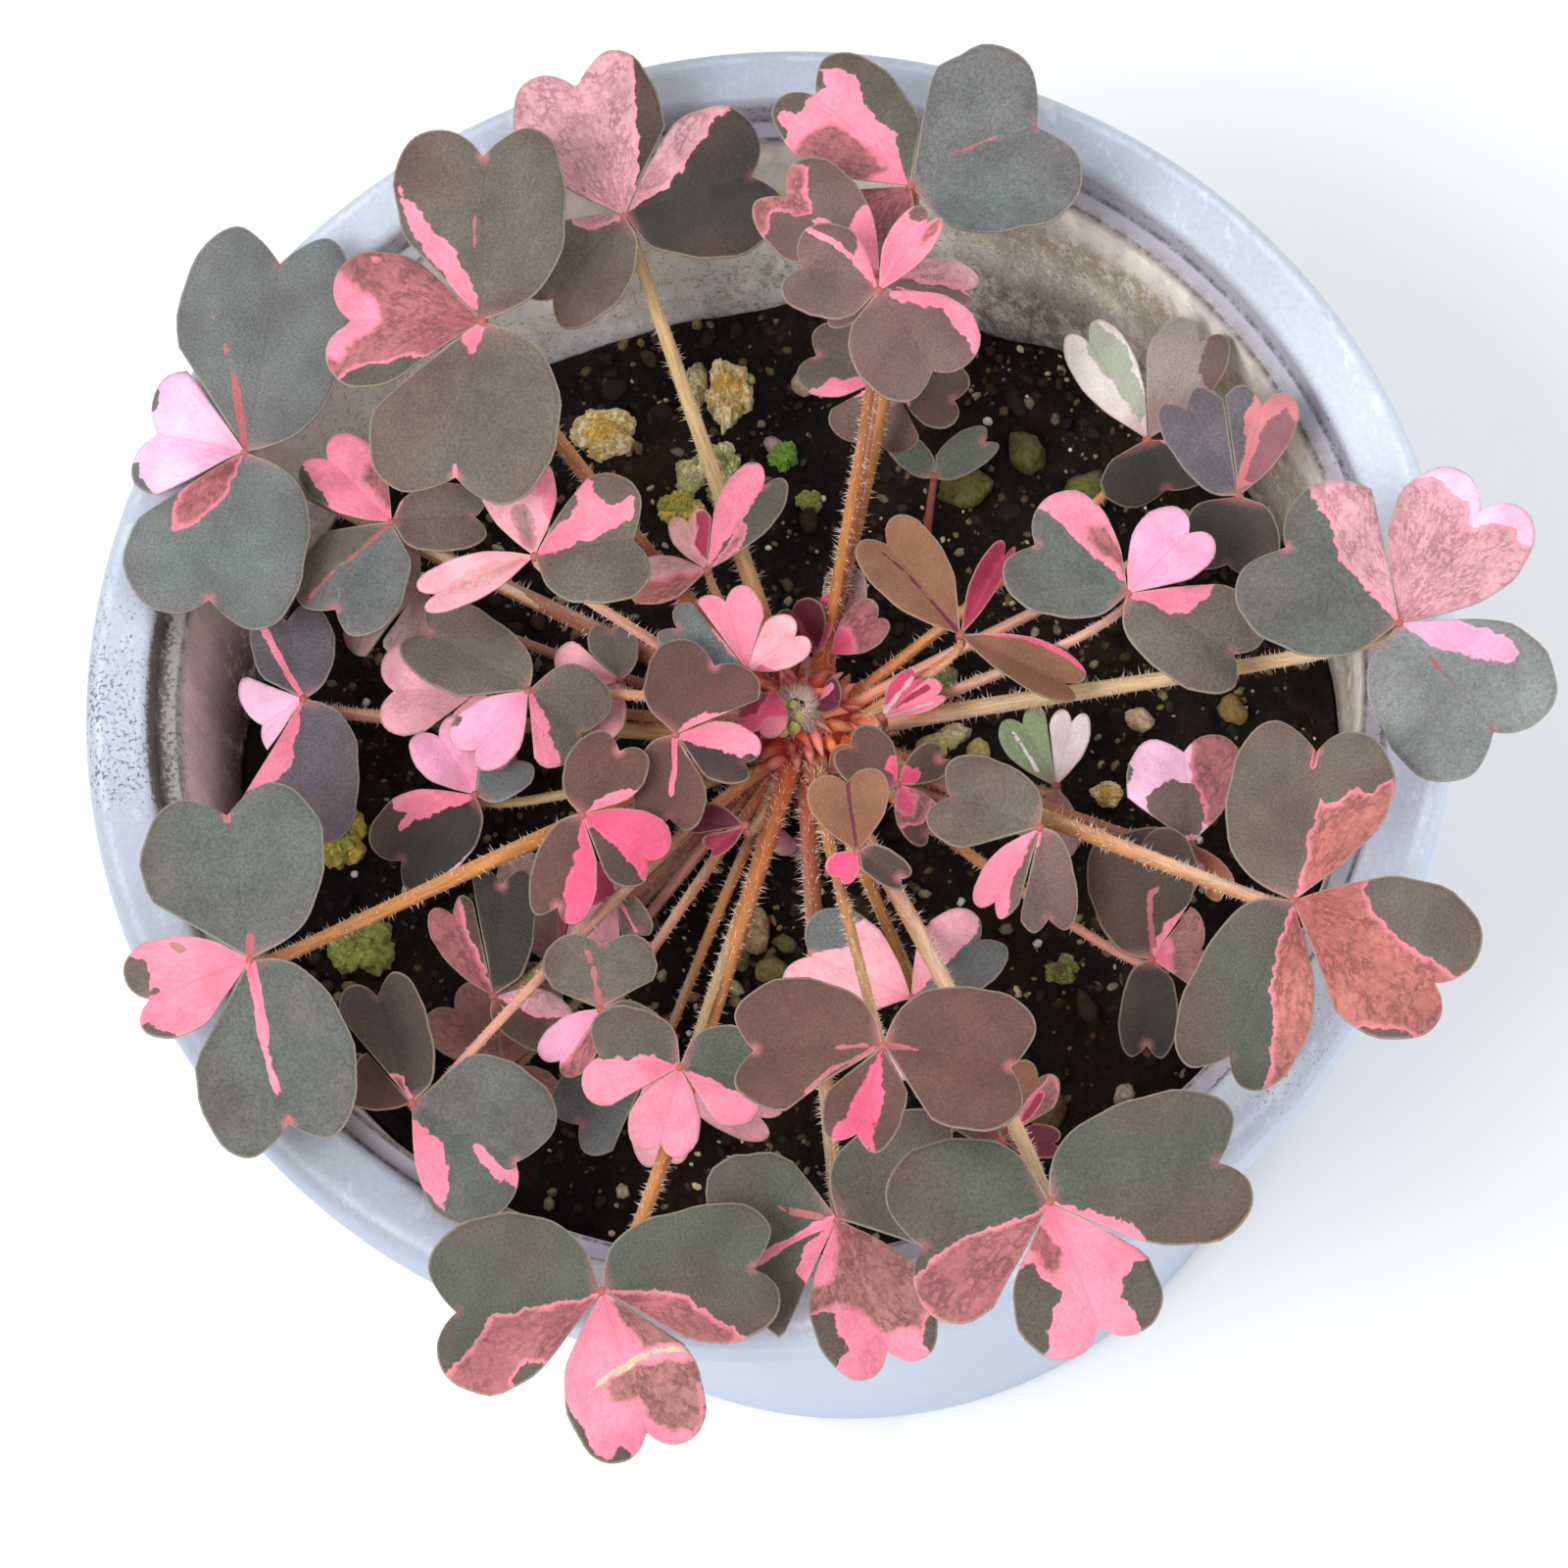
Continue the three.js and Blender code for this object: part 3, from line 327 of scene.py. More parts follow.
        ("olive", ("salmon", 0, [(0, 2), (-8, 25), (-12, 62), (-28, 56), (-50, 68), (-75, 64), (-98, 76),
         (-120, 45), (-60, 0)]), ("salmon", 3, [(0, 78), (0, 92)])),
        ("salmon", ("olive", 0, [(125, 25), (50, 30), (32, 40), (22, 60), (18, 95), (60, 115), (115, 105)]),
         ("olive", 0, [(-76, 88), (-88, 72), (-120, 58), (-115, 110), (-80, 108)])),
        ("green", ("salmon", 0, [(0, 3), (5, 25), (15, 45), (40, 60), (62, 85), (80, 108), (118, 78),
         (105, 40), (50, 0)])),
    ],
    "leaf_22": [
        ("umber", ("rose", 4, [(-5, 5), (-5, 30), (-10, 50), (-25, 52)]), ("pink", 0, [(-5, -3), (-10, 15),
         (-40, 28), (-70, 35), (-110, 42), (-60, -3)])),
        ("brick", ("pink", 0, [(0, 0), (50, 0), (60, 22), (20, 34), (-20, 32), (-60, 20), (-50, 0)])),
        ("dark",),
    ],
    "leaf_23": [
        ("ash", ("dust", 0, [(0, 2), (-12, 30), (-20, 55), (-45, 74), (-58, 90), (-78, 104), (-118, 80),
         (-105, 40), (-50, 0)])),
        ("dust", ("pale", 0, [(118, 72), (80, 88), (50, 84), (20, 86), (5, 76), (-10, 74), (-30, 84),
         (-60, 88), (-75, 80), (-118, 85), (-90, 115), (90, 115)])),
        ("fog", ("candy", 0, [(2, 3), (12, 26), (36, 46), (62, 66), (74, 60), (76, 48), (50, 22), (20, 4)]),
         ("rose", 2.5, [(0, 30), (-3, 42)])),
    ],
    "leaf_24": [
        ("ash", ("pink", 0, [(-8, 5), (-24, 32), (-34, 60), (-46, 80), (-55, 112), (-112, 105), (-118, 40),
         (-60, 0)]), ("rose", 0, [(-14, 6), (-30, 30), (-45, 55), (-60, 62), (-75, 45), (-50, 10)])),
        ("candy",),
        ("olive", ("pink", 0, [(0, 3), (3, 28), (18, 42), (60, 52), (96, 50), (85, 20), (40, 0)])),
    ],
    "leaf_25": [
        ("plum",),
        ("plum", ("base", 0, [(20, 0), (10, 40), (30, 70), (20, 105), (-110, 105), (-110, 60), (-60, 20)]),
         ("berry", 0, [(-6, 16), (-14, 50), (-16, 70), (-56, 84), (-114, 74), (-112, 40), (-50, 8)])),
        ("dark",),
    ],
    "leaf_26": [
        ("cream", ("sage", 0, [(-4, 12), (6, 58), (24, 76), (4, 98), (-50, 100), (-84, 70), (-56, 24)])),
        ("beige", ("mauve", 0, [(-24, 66), (-112, 50), (-100, 112), (-16, 105)])),
        ("dark", ("blush", 0, [(10, 0), (40, 40), (60, 80), (120, 80), (110, 0)])),
    ],
    "leaf_27": [
        ("olive",),
        ("pink", ("mauve", 0, [(120, 112), (70, 92), (30, 60), (10, 30), (5, 5), (60, -3), (125, 45)])),
        ("mauve", ("pink", 3, [(0, 3), (-15, 18)])),
    ],
    "leaf_28": [
        ("pale", ("rose", 0, [(-8, 30), (-14, 108), (-110, 100), (-110, 20), (-50, 0)]), ("mauve", 0,
         [(50, 6), (72, 40), (30, 64), (-10, 56), (-30, 36), (-20, 8)]), ("olive", 0, [(112, 54), (92, 66),
         (98, 92), (120, 90)])),
        ("copper", ("pink", 0, [(-10, 0), (-20, 40), (-60, 80), (-120, 60), (-60, 0)])),
        ("umber",),
    ],
    "leaf_29": [("meadow", ("milk", 4, [(34, 26), (44, 82)])), ("milk",), ("fawn",)],
    "leaf_30": [
        ("clay", ("wine", 2.5, [(0, 0), (8, 60), (24, 84)])),
        ("crimson",),
        ("clay", ("hot", 7, [(30, 8), (88, 45), (96, 70), (70, 98)])),
    ],
    "leaf_31": [
        ("bronze", ("pink", 0, [(-2, 0), (-18, 28), (-60, 48), (-112, 72), (-120, 40), (-50, -3)])),
        ("dark", ("pink", 0, [(-10, 0), (-8, 40), (10, 66), (40, 104), (115, 90), (105, 25), (50, -3)])),
        ("bronze", ("pink", 6, [(0, 5), (5, 35), (0, 62)]), ("pink", 0, [(10, 0), (20, 20), (60, 28),
         (60, 0)])),
    ],
    "leaf_32": [
        ("pink",),
        ("petal", ("hot", 0, [(-5, -3), (-20, 20), (-60, 34), (-110, 30), (-60, -5)])),
        ("slate", ("rose", 0, [(0, 0), (-20, 30), (-60, 60), (-110, 60), (-60, 0)])),
    ],
    "leaf_33": [
        ("bronze", ("pink", 0, [(-2, 0), (-12, 22), (-60, 45), (-120, 62), (-60, -3)])),
        ("hot", ("umber", 0, [(-12, 18), (-16, 45), (-30, 75), (-50, 105), (-112, 100), (-112, 20),
         (-50, 6)])),
        ("bronze", ("hot", 0, [(0, 0), (14, 30), (4, 62), (30, 104), (112, 100), (112, 30), (50, 0)])),
    ],
    "leaf_34": [("hot",), ("mauve", ("pink", 5, [(0, 0), (0, 80)])), ("petal",)],
    "leaf_35": [
        ("olive", ("rose", 4, [(2, 10), (10, 40), (26, 80)])),
        ("candy", ("rose", 0, [(5, 0), (10, 60), (20, 105), (110, 100), (110, 20), (50, 0)])),
        ("green",),
    ],
    "leaf_36": [
        ("blush", ("crimson", 0, [(0, 0), (-5, 60), (-40, 100), (-110, 80), (-90, 10)])),
        ("green", ("pink", 0, [(-5, 0), (-10, 40), (-2, 78), (30, 110), (118, 75), (112, 25), (50, -3)]),
         ("brick", 0, [(-2, 4), (-6, 40), (0, 52), (-30, 50), (-60, 30), (-40, 4)])),
        ("salmon", ("blush", 0, [(0, 0), (-10, 50), (-60, 100), (-110, 60), (-60, 0)])),
    ],
    "leaf_37": [("clay", ("wine", 3, [(0, 8), (2, 50), (-3, 90)])), ("hot",), ("umber",)],
    "leaf_38": [
        ("rose", ("umber", 0, [(-10, 0), (-20, 60), (-50, 105), (-115, 80), (-100, 10)])),
        ("dark",),
        ("bronze", ("dust", 0, [(0, 0), (10, 60), (60, 105), (115, 80), (100, 0)])),
    ],
    "leaf_39": [
        ("fawn", ("hot", 0, [(-10, 0), (-20, 60), (-50, 105), (-115, 80), (-100, 10)])),
        ("candy",),
        ("bronze",),
    ],
    "leaf_40": [("slate",), ("petal",), ("petal",)],
    "leaf_41": [
        ("bronze", ("hot", 0, [(0, 0), (-10, 30), (-50, 36), (-90, 20), (-60, -5)])),
        ("umber", ("hot", 0, [(0, -3), (60, 0), (50, 30), (10, 44), (-50, 40), (-70, 0)])),
        ("brick", ("hot", 0, [(20, -3), (30, 30), (-20, 50), (-60, 30), (-50, -3)]), ("bronze", 0, [(100, 50),
         (0, 70), (-100, 60), (-80, 115), (80, 115)])),
    ],
    "leaf_42": [
        ("clay", ("brick", 0, [(-4, 0), (-10, 60), (-40, 105), (-115, 80), (-100, 0)]), ("crimson", 8,
         [(-30, 10), (-40, 70)])),
        ("wine",),
        ("bronze", ("crimson", 6, [(0, 0), (0, 50)])),
    ],
    "leaf_43": [("withered",), ("withered",), ("withered",)],
    "leaf_44": [("petal",), ("fawn",), ("petal",)],
    "leaf_45": [("fawn",), ("fawn",), ("fawn",)],
    "leaf_46": [("petal",), ("petal",), ("olive",)],
    "bud_1": [
        ("pink", ("crimson", 8, [(20, 10), (50, 80)]), ("cream", 5, [(-20, 10), (-50, 80)])),
        ("hot", ("cream", 8, [(10, 10), (20, 90)])),
    ],
    "bud_2": [("wine",), ("crimson",)],
    "seedling": [("moss",), ("moss",)],
}


def linear(hex_code):
    """A linear RGB triple from an sRGB hex code."""
    channels = [int(hex_code[i:i + 2], 16) / 255 for i in (1, 3, 5)]
    return tuple(c / 12.92 if c <= 0.04045 else ((c + 0.055) / 1.055) ** 2.4 for c in channels)


def colour(label, hex_code, text=""):
    """A colour that a user can change."""
    return bpy.props.FloatVectorProperty(name=label, description=text or f"Colour of {label.lower()}",
                                         default=linear(hex_code), subtype="COLOR", min=0, max=1)


def colours(**codes):
    """A colour property for each name, labelled with that name."""
    return {key: colour(key.replace("_", " ").capitalize(), code) for key, code in codes.items()}


def number(label, value, text, kind=bpy.props.FloatProperty, **more):
    """A plain number that a user can change."""
    return kind(name=label, description=text, default=value, **more)


def length(label, value, text):
    """A length that a user can change, given in millimetres."""
    return bpy.props.FloatProperty(name=label, description=text, default=value * MM, min=0, unit="LENGTH",
                                   precision=5)


def in_mm(group):
    """The settings of a group, with its lengths in millimetres."""
    values = {}
    for key in group.__annotations__:
        value = getattr(group, key)
        values[key] = value / MM if group.bl_rna.properties[key].unit == "LENGTH" else value
    return SimpleNamespace(**values)


# ---- sizes and colours --------------------------------------------------------------------------
class PotSettings(bpy.types.PropertyGroup):
    """The plastic pot."""
    height: length("Height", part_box("pot")[1].z / MM, "From the foot to the top of the rim")
    rim_radius: length("Rim radius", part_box("pot")[1].y / MM, "To the outside of the lip")
    mouth_radius: length("Mouth radius", 51.6, "Inside of the wall just below the ledge")
    floor_radius: length("Floor radius", 40.5, "Inside of the wall at the floor")
    floor_top: length("Floor thickness", 3.6, "Top of the floor above the table")
    wall: length("Wall", 1.5, "Thickness of the wall")
    skirt_blue: colour("Skirt", "#a9bbdb", "Plastic of the upright face, which the sun has not bleached")
    __annotations__.update(colours(plastic="#bdc4d2", wall_stain="#d8d3cc", mauve_stain="#c4a9ab",
        blue_film="#f3f4f8", tan_film="#93877a", deep_stain="#4f3238", ledge_film="#b4b0bf", dirt="#b3a283",
        crust="#f4eddd", algae="#a9c065", grime="#2b2624"))


class MixSettings(bpy.types.PropertyGroup):
    """The potting mix."""
    top: length("Height", 74.0, "Height of the mix at the middle")
    slope: number("Slope", 0.1, "How fast it falls to the back")
    dish: number("Dish", 0.0022, "How fast it rises to both sides")
    relief: length("Relief", 1.1, "Of the broad lumps")
    grains: number("Grains", 240, "Number of larger grains", bpy.props.IntProperty, min=0)
    crumbs: number("Crumbs", 4200, "Number of small crumbs", bpy.props.IntProperty, min=0)
    perlite: number("Perlite", 75, "Number of perlite specks", bpy.props.IntProperty, min=0)
    glass: colour("Perlite", "#ece7dc", "Specks of puffed volcanic glass")
    frond: colour("Fresh moss", "#7fae35")
    __annotations__.update(colours(peat="#0d0705", humus="#2b1d12", bark="#3c2819", akadama="#7b6a40",
        pumice="#b5a888", rust="#633b26", moss_cream="#f8e6b4", moss_yellow="#e9bb45",
        moss_green="#9aa74c"))


class PlantSettings(bpy.types.PropertyGroup):
    """Blades, stalks and hairs."""
    blade: length("Blade", 0.32, "Thickness of a leaflet")
    cup: number("Cup", 0.22, "How far each half of a leaflet bows")
    wave: number("Wave", 0.035, "Of the margins, share of half the width")
    ripple: length("Ripple", 0.16, "Depth of the dents in a leaflet")
    stalk: length("Stalk", 0.88, "Radius of a large stalk at its foot")
    thin_stalk: length("Thin stalk", 0.6, "Radius of a small stalk at its foot")
    hair: length("Hair", 1.0, "Length of a stalk hair")
    hairs: number("Hairs", 12.0, "Number of hairs on a millimetre")
    foot: colour("Foot of a stalk", "#da6a3c")
    hair_colour: colour("Hairs", "#f8dccb")
    bead: colour("Hub", "#b0655a", "Where the leaflets meet")
    __annotations__.update(colours(copper_stalk="#c58347", straw_stalk="#cfb07c", rosewood_stalk="#a8674a",
        pink_stalk="#dd9a86", coral_scale="#e2452f",
        orange_scale="#f07f3e", pink_scale="#f58a84", fluff="#ffdfd0", sprout="#e2de7c"))


class ToneSettings(bpy.types.PropertyGroup):
    """Tones of the leaf blades."""
    __annotations__ = colours(slate="#666a69", ash="#5b5d59", fog="#7d8281", green="#505146", olive="#655b50",
        dark="#332d2a", umber="#4b3b2f", bronze="#5e3e34", mauve="#6f5650", plum="#5f585f", moss="#687060",
        # the tone after sage is brick painted darker, a painted shade on a leaflet of leaf_14
        sage="#a3ab95", maroon="#51302b", clay="#8b5f45", copper="#a5644a", rose="#b56b6c", dust="#dfa4ae",
        brick="#ae766c", salmon="#c5756b", pink="#fb8ea6", petal="#fcb3bd", pale="#fdc6e2", candy="#feaccd",
        blush="#dfa7a3", hot="#ee5a83", crimson="#a83150", wine="#6d2138", cream="#dfd2cd", straw="#cbbb9d",
        base="#cf7f80", fawn="#b1928a", beige="#978a80", berry="#8f5c66", meadow="#8c9f78", milk="#f6e3e6",
        withered="#b07e70", margin="#bba993", lip="#f08a9c", vein="#6e4443", underside="#7c3c50")


class StageSettings(bpy.types.PropertyGroup):
    """Floor, lights and camera."""
    floor: colour("Floor", "#f4f4f3")
    key: number("Key light", 6.9, "Power of the larger lamp", unit="POWER")
    fill: number("Sky", 0.86, "Strength of the even light")


NET = {"rose": 0.75, "dust": 0.55, "brick": 0.8, "salmon": 0.75, "blush": 0.35, "pink": 0.14, "pale": 0.06,
       "petal": 0.16, "candy": 0.05, "hot": 0.12, "withered": 0.6, "fawn": 0.4}


# ---- making meshes ------------------------------------------------------------------------------
FULL_TURN = 2 * math.pi
ANY_TURN = 6.3          # upper end of a random direction, in radians


class Batch:
    """Bodies that become one piece, with values for each point."""

    def __init__(self):
        self.points, self.faces, self.values, self.count = [], [], {}, 0

    def add(self, points, faces, **values):
        """Values are one row for each point, or one row for all of them."""
        self.faces += [[i + self.count for i in face] for face in faces]
        self.points.append(points)
        self.count += len(points)
        for key, value in values.items():
            value = np.atleast_1d(np.asarray(value, np.float32))
            rows = value if value.ndim == 2 else np.tile(value, (len(points), 1))
            self.values.setdefault(key, []).append(rows)

    def piece(self, name, material, slot, replaces=()):
        """Makes the object, and lets it ride on the part's one body."""
        mesh = bpy.data.meshes.new(name)
        mesh.from_pydata((np.vstack(self.points) * MM).tolist(), [], self.faces)
        for key, rows in self.values.items():
            rows = np.vstack(rows)
            kind, field = {1: ("FLOAT", "value"), 3: ("FLOAT_VECTOR", "vector"),
                           4: ("FLOAT_COLOR", "color")}[rows.shape[1]]
            mesh.attributes.new(key, kind, "POINT").data.foreach_set(field, rows.ravel())
        mesh.shade_smooth()
        mesh.materials.append(material)
        made = bpy.data.objects.new(name, mesh)
        bpy.context.scene.collection.objects.link(made)
        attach(made, "root")
        if replaces:
            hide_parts(*replaces)
        return made


def smooth_line(corners, count):
    """count + 1 points evenly spaced on a smooth line through the corners."""
    c = np.array([corners[0], *corners, corners[-1]], float)
    t = np.linspace(0, 1, 12, endpoint=False)[:, None]
    spans = [0.5 * (2 * q + (r - p) * t + (2 * p - 5 * q + 4 * r - s) * t ** 2
                    + (3 * q - p - 3 * r + s) * t ** 3) for p, q, r, s in zip(c, c[1:], c[2:], c[3:])]
    dense = np.vstack([*spans, c[-1:]])
    run = np.concatenate([[0], np.cumsum(np.linalg.norm(np.diff(dense, axis=0), axis=1))])
    at = np.linspace(0, run[-1], count + 1)
    return np.stack([np.interp(at, run, dense[:, k]) for k in range(dense.shape[1])], 1)


def frames_along(path):
    """Two directions across the path at each of its points, that turn as little as they can."""
    ahead = np.gradient(path, axis=0)
    ahead /= np.linalg.norm(ahead, axis=1)[:, None]
    side = np.array([0.3, 0.9, 0.1])
    sides = []
    for direction in ahead:
        side = side - direction * (side @ direction)
        side /= np.linalg.norm(side)
        sides.append(side)
    return ahead, np.array(sides), np.cross(ahead, sides)


def ring_faces(rows, sides):
    """Faces between rings of points, one ring after the other."""
    return [(low + k, low + (k + 1) % sides, low + sides + (k + 1) % sides, low + sides + k)
            for low in range(0, (rows - 1) * sides, sides) for k in range(sides)]


def rod_faces(rows, sides):
    """The same, closed at both ends."""
    first, last = range(sides), range((rows - 1) * sides, rows * sides)
    return [*ring_faces(rows, sides), tuple(first)[::-1], tuple(last)]


def tube(path, radii, sides):
    """A round rod through the path, closed at both ends."""
    path = np.asarray(path, float)
    _, u, v = frames_along(path)
    turn = np.linspace(0, FULL_TURN, sides, endpoint=False)
    ring = u[:, None] * np.cos(turn)[:, None] + v[:, None] * np.sin(turn)[:, None]
    points = path[:, None] + ring * np.asarray(radii, float)[:, None, None]
    return points.reshape(-1, 3), rod_faces(len(path), sides)


def ball(centre, radii, rings=6, sides=10):
    """A rounded bead."""
    points = [(0, 0, -1)] + [
        (math.sin(p) * math.cos(t), math.sin(p) * math.sin(t), -math.cos(p))
        for p in np.linspace(0, math.pi, rings + 1)[1:-1] for t in np.linspace(0, FULL_TURN, sides + 1)[:-1]
    ] + [(0, 0, 1)]
    last = len(points) - 1
    faces = [(0, 1 + (k + 1) % sides, 1 + k) for k in range(sides)]
    faces += [tuple(1 + i for i in face) for face in ring_faces(rings - 1, sides)]
    top = 1 + (rings - 2) * sides
    faces += [(last, top + k, top + (k + 1) % sides) for k in range(sides)]
    return np.array(points) * radii + np.asarray(centre), faces


def hairs(roots, directions, lengths, thickness, draws):
    """Straight tapered hairs with three sides."""
    across = np.cross(directions, draws.normal(size=directions.shape))
    across /= np.linalg.norm(across, axis=1)[:, None]
    third = np.cross(directions, across)
    corners = [roots + thickness * (across * math.cos(a) + third * math.sin(a))
               for a in (0, FULL_TURN / 3, FULL_TURN * 2 / 3)]
    points = np.stack([*corners, roots + directions * lengths[:, None]], 1).reshape(-1, 3)
    faces = [(i, j, k) for n in range(0, len(points), 4)
             for i, j, k in ((n, n + 1, n + 3), (n + 1, n + 2, n + 3), (n + 2, n, n + 3))]
    return points, faces


# ---- materials ----------------------------------------------------------------------------------
# The kinds of node that are used most, each with its mode after the dot.
TIMES, PLUS, MINUS, TIMES_PLUS = "Math.MULTIPLY", "Math.ADD", "Math.SUBTRACT", "Math.MULTIPLY_ADD"
SIZE, LARGER = "Math.ABSOLUTE", "Math.MAXIMUM"
SCALED, STRETCHED, DISTANCE = "VectorMath.SCALE", "VectorMath.MULTIPLY", "VectorMath.DISTANCE"
RAMP, NOISE, BLEND = "MapRange", "TexNoise", "Mix.RGBA"
MODES = {"Mix": "data_type", "Attribute": "attribute_name"}


def add_node(tree, kind, *inputs, out=None, **settings):
    """Adds a node with its mode, settings and named inputs, and links or sets the inputs that it then shows,
    in order. Gives its first output, or the named one. Inputs too many for a sum or product go to another."""
    name, _, mode = kind.partition(".")
    node = tree.nodes.new("ShaderNode" + name)
    if mode:
        setattr(node, MODES.get(name, "operation"), mode)
    shown = [socket for socket in node.inputs if socket.enabled]
    values = list(zip(shown, inputs))
    for key, value in settings.items():
        socket = node.inputs.get(key.replace("_", " "))
        if socket:
            values.append((socket, value))
        else:
            setattr(node, key, value)
    for socket, value in values:
        if isinstance(value, bpy.types.NodeSocket):
            tree.links.new(value, socket)
        elif socket.type == "RGBA":
            socket.default_value = (*value[:3], 1)
        else:
            socket.default_value = value
    result = node.outputs[out] if out else next((socket for socket in node.outputs if socket.enabled), None)
    rest = inputs[len(shown):]
    return add_node(tree, kind, result, *rest) if rest else result


def material(name):
    """An empty node material, and the function that adds a node to it."""
    made = bpy.data.materials.new(name)
    made.use_nodes = True
    made.node_tree.nodes.clear()
    return made, partial(add_node, made.node_tree)


def leaf_blade(tones):
    """Living leaf blade. A matt skin with short hairs and sunk veins: a dull soft sheen, a felt of fine
    pale points and a thin paler margin. The dusty patches are finely wrinkled, with a clean pink lip."""
    made, add = material("living_leaf_blade")
    rib = add("Attribute.rib", out="Vector")
    x, y, z = add("SeparateXYZ", rib).node.outputs
    jag = add(TIMES_PLUS, add(NOISE, rib, 0.6, 3, 0.6), 1.7, -0.85)
    # wrinkles and veins fan out from the base: 0.3 mm wide and some 1.5 mm long
    turned = add(TIMES, add("Math.ARCTAN2", x, add(PLUS, y, 1.5)), 10)
    fan = add("CombineXYZ", turned, add(TIMES, y, 0.6), z)
    wander = add(SIZE, add(MINUS, add(NOISE, fan, 1, 4, 0.65), 0.5))
    drift = add(RAMP, add(NOISE, rib, 0.5, 2), 0.4, 0.6, 0.35)
    crack = add(TIMES, add(RAMP, wander, 0, 0.08, 1, 0), drift)
    mottle = add(RAMP, add(NOISE, rib, 2.2, 3, 0.7), 0.38, 0.62)
    felt = add(NOISE, rib, 4.6, 2, 0.75)

    skin, dusty, lip = add("Attribute.ground"), add("Attribute.ground_net", out="Fac"), 0
    for layer in MARK_LAYERS:
        ragged = add(PLUS, add(f"Attribute.{layer}_in", out="Fac"), jag)
        inside = add(RAMP, ragged, -0.06, 0.06)
        skin = add(BLEND, inside, skin, add("Attribute." + layer))
        dusty = add("Mix.FLOAT", inside, dusty, add(f"Attribute.{layer}_net", out="Fac"))
        lip = add(LARGER, add(RAMP, add(SIZE, ragged), 0.12, 0.5, 1, 0), lip)
    wrinkled = add(TIMES_PLUS, crack, 0.85, add(TIMES, mottle, 0.42), use_clamp=True)
    dark = add(TIMES, wrinkled, dusty, add(TIMES_PLUS, lip, -0.8, 1))
    skin = add(BLEND, dark, skin, tones.vein)
    skin = add(BLEND, add(TIMES, lip, dusty), skin, tones.lip)

    # the felt shows less on pink and on pale tones
    red, green, _ = add("SeparateXYZ", skin).node.outputs
    spread = add(RAMP, add(MINUS, red, green), 0.02, 0.2, 0.27, 0.08)
    spread = add(TIMES, spread, add(RAMP, green, 0.16, 0.42, 1, 0.4))
    light = add(TIMES_PLUS, add(RAMP, felt, 0.36, 0.64, -1), spread, 1)
    broad = add(RAMP, add(NOISE, rib, 0.22, 2), 0.35, 0.65, 0.84, 1.14)
    skin = add(SCALED, skin, add(TIMES, light, broad))
    midrib = add(RAMP, add(SIZE, x), 0.05, 0.22, 0.45, 0)
    veined = add(STRETCHED, skin, (0.86, 0.6, 0.66))
    skin = add(BLEND, add(LARGER, midrib, add(TIMES, crack, 0.3)), skin, veined)
    rim = add(RAMP, add("Attribute.margin", out="Fac"), 0.06, 0.24, 0.5, 0)
    skin = add(BLEND, rim, skin, tones.margin)
    skin = add(BLEND, add("Attribute.below", out="Fac"), skin, tones.underside)
    height = add(TIMES_PLUS, mottle, 0.25, add(TIMES_PLUS, dark, -0.8, felt))
    bump = add("Bump", Strength=0.6, Distance=0.26 * MM, Height=height)
    add("OutputMaterial", add("BsdfPrincipled", Base_Color=skin, Roughness=0.56, Normal=bump, IOR=1.45,
                              Sheen_Weight=0.08, Sheen_Roughness=0.5))
    return made


def tinted(name, grain, roughness, bump, spread, sheen=0.0, along=False):
    """A skin whose colour comes from each body's own tint, broken up by a grain of the given size in mm.
    With along, the grain follows the body's length."""
    made, add = material(name)
    here = add("Attribute.rib", out="Vector") if along else add(SCALED, add("TexCoord", out="Object"), 1 / MM)
    fine, coarse = add(NOISE, here, 1 / grain, 4, 0.65), add(NOISE, here, 0.22 / grain, 2)
    both = add(TIMES_PLUS, coarse, 0.35, add(TIMES, fine, 0.65))
    skin = add(SCALED, add("Attribute.tint"), add(RAMP, both, 0.38, 0.62, 1 - spread, 1 + spread))
    relief = add("Bump", Strength=bump, Distance=grain * MM / 2, Height=fine)
    add("OutputMaterial", add("BsdfPrincipled", Base_Color=skin, Roughness=roughness, Normal=relief,
                              Sheen_Weight=sheen, Sheen_Roughness=0.5))
    return made


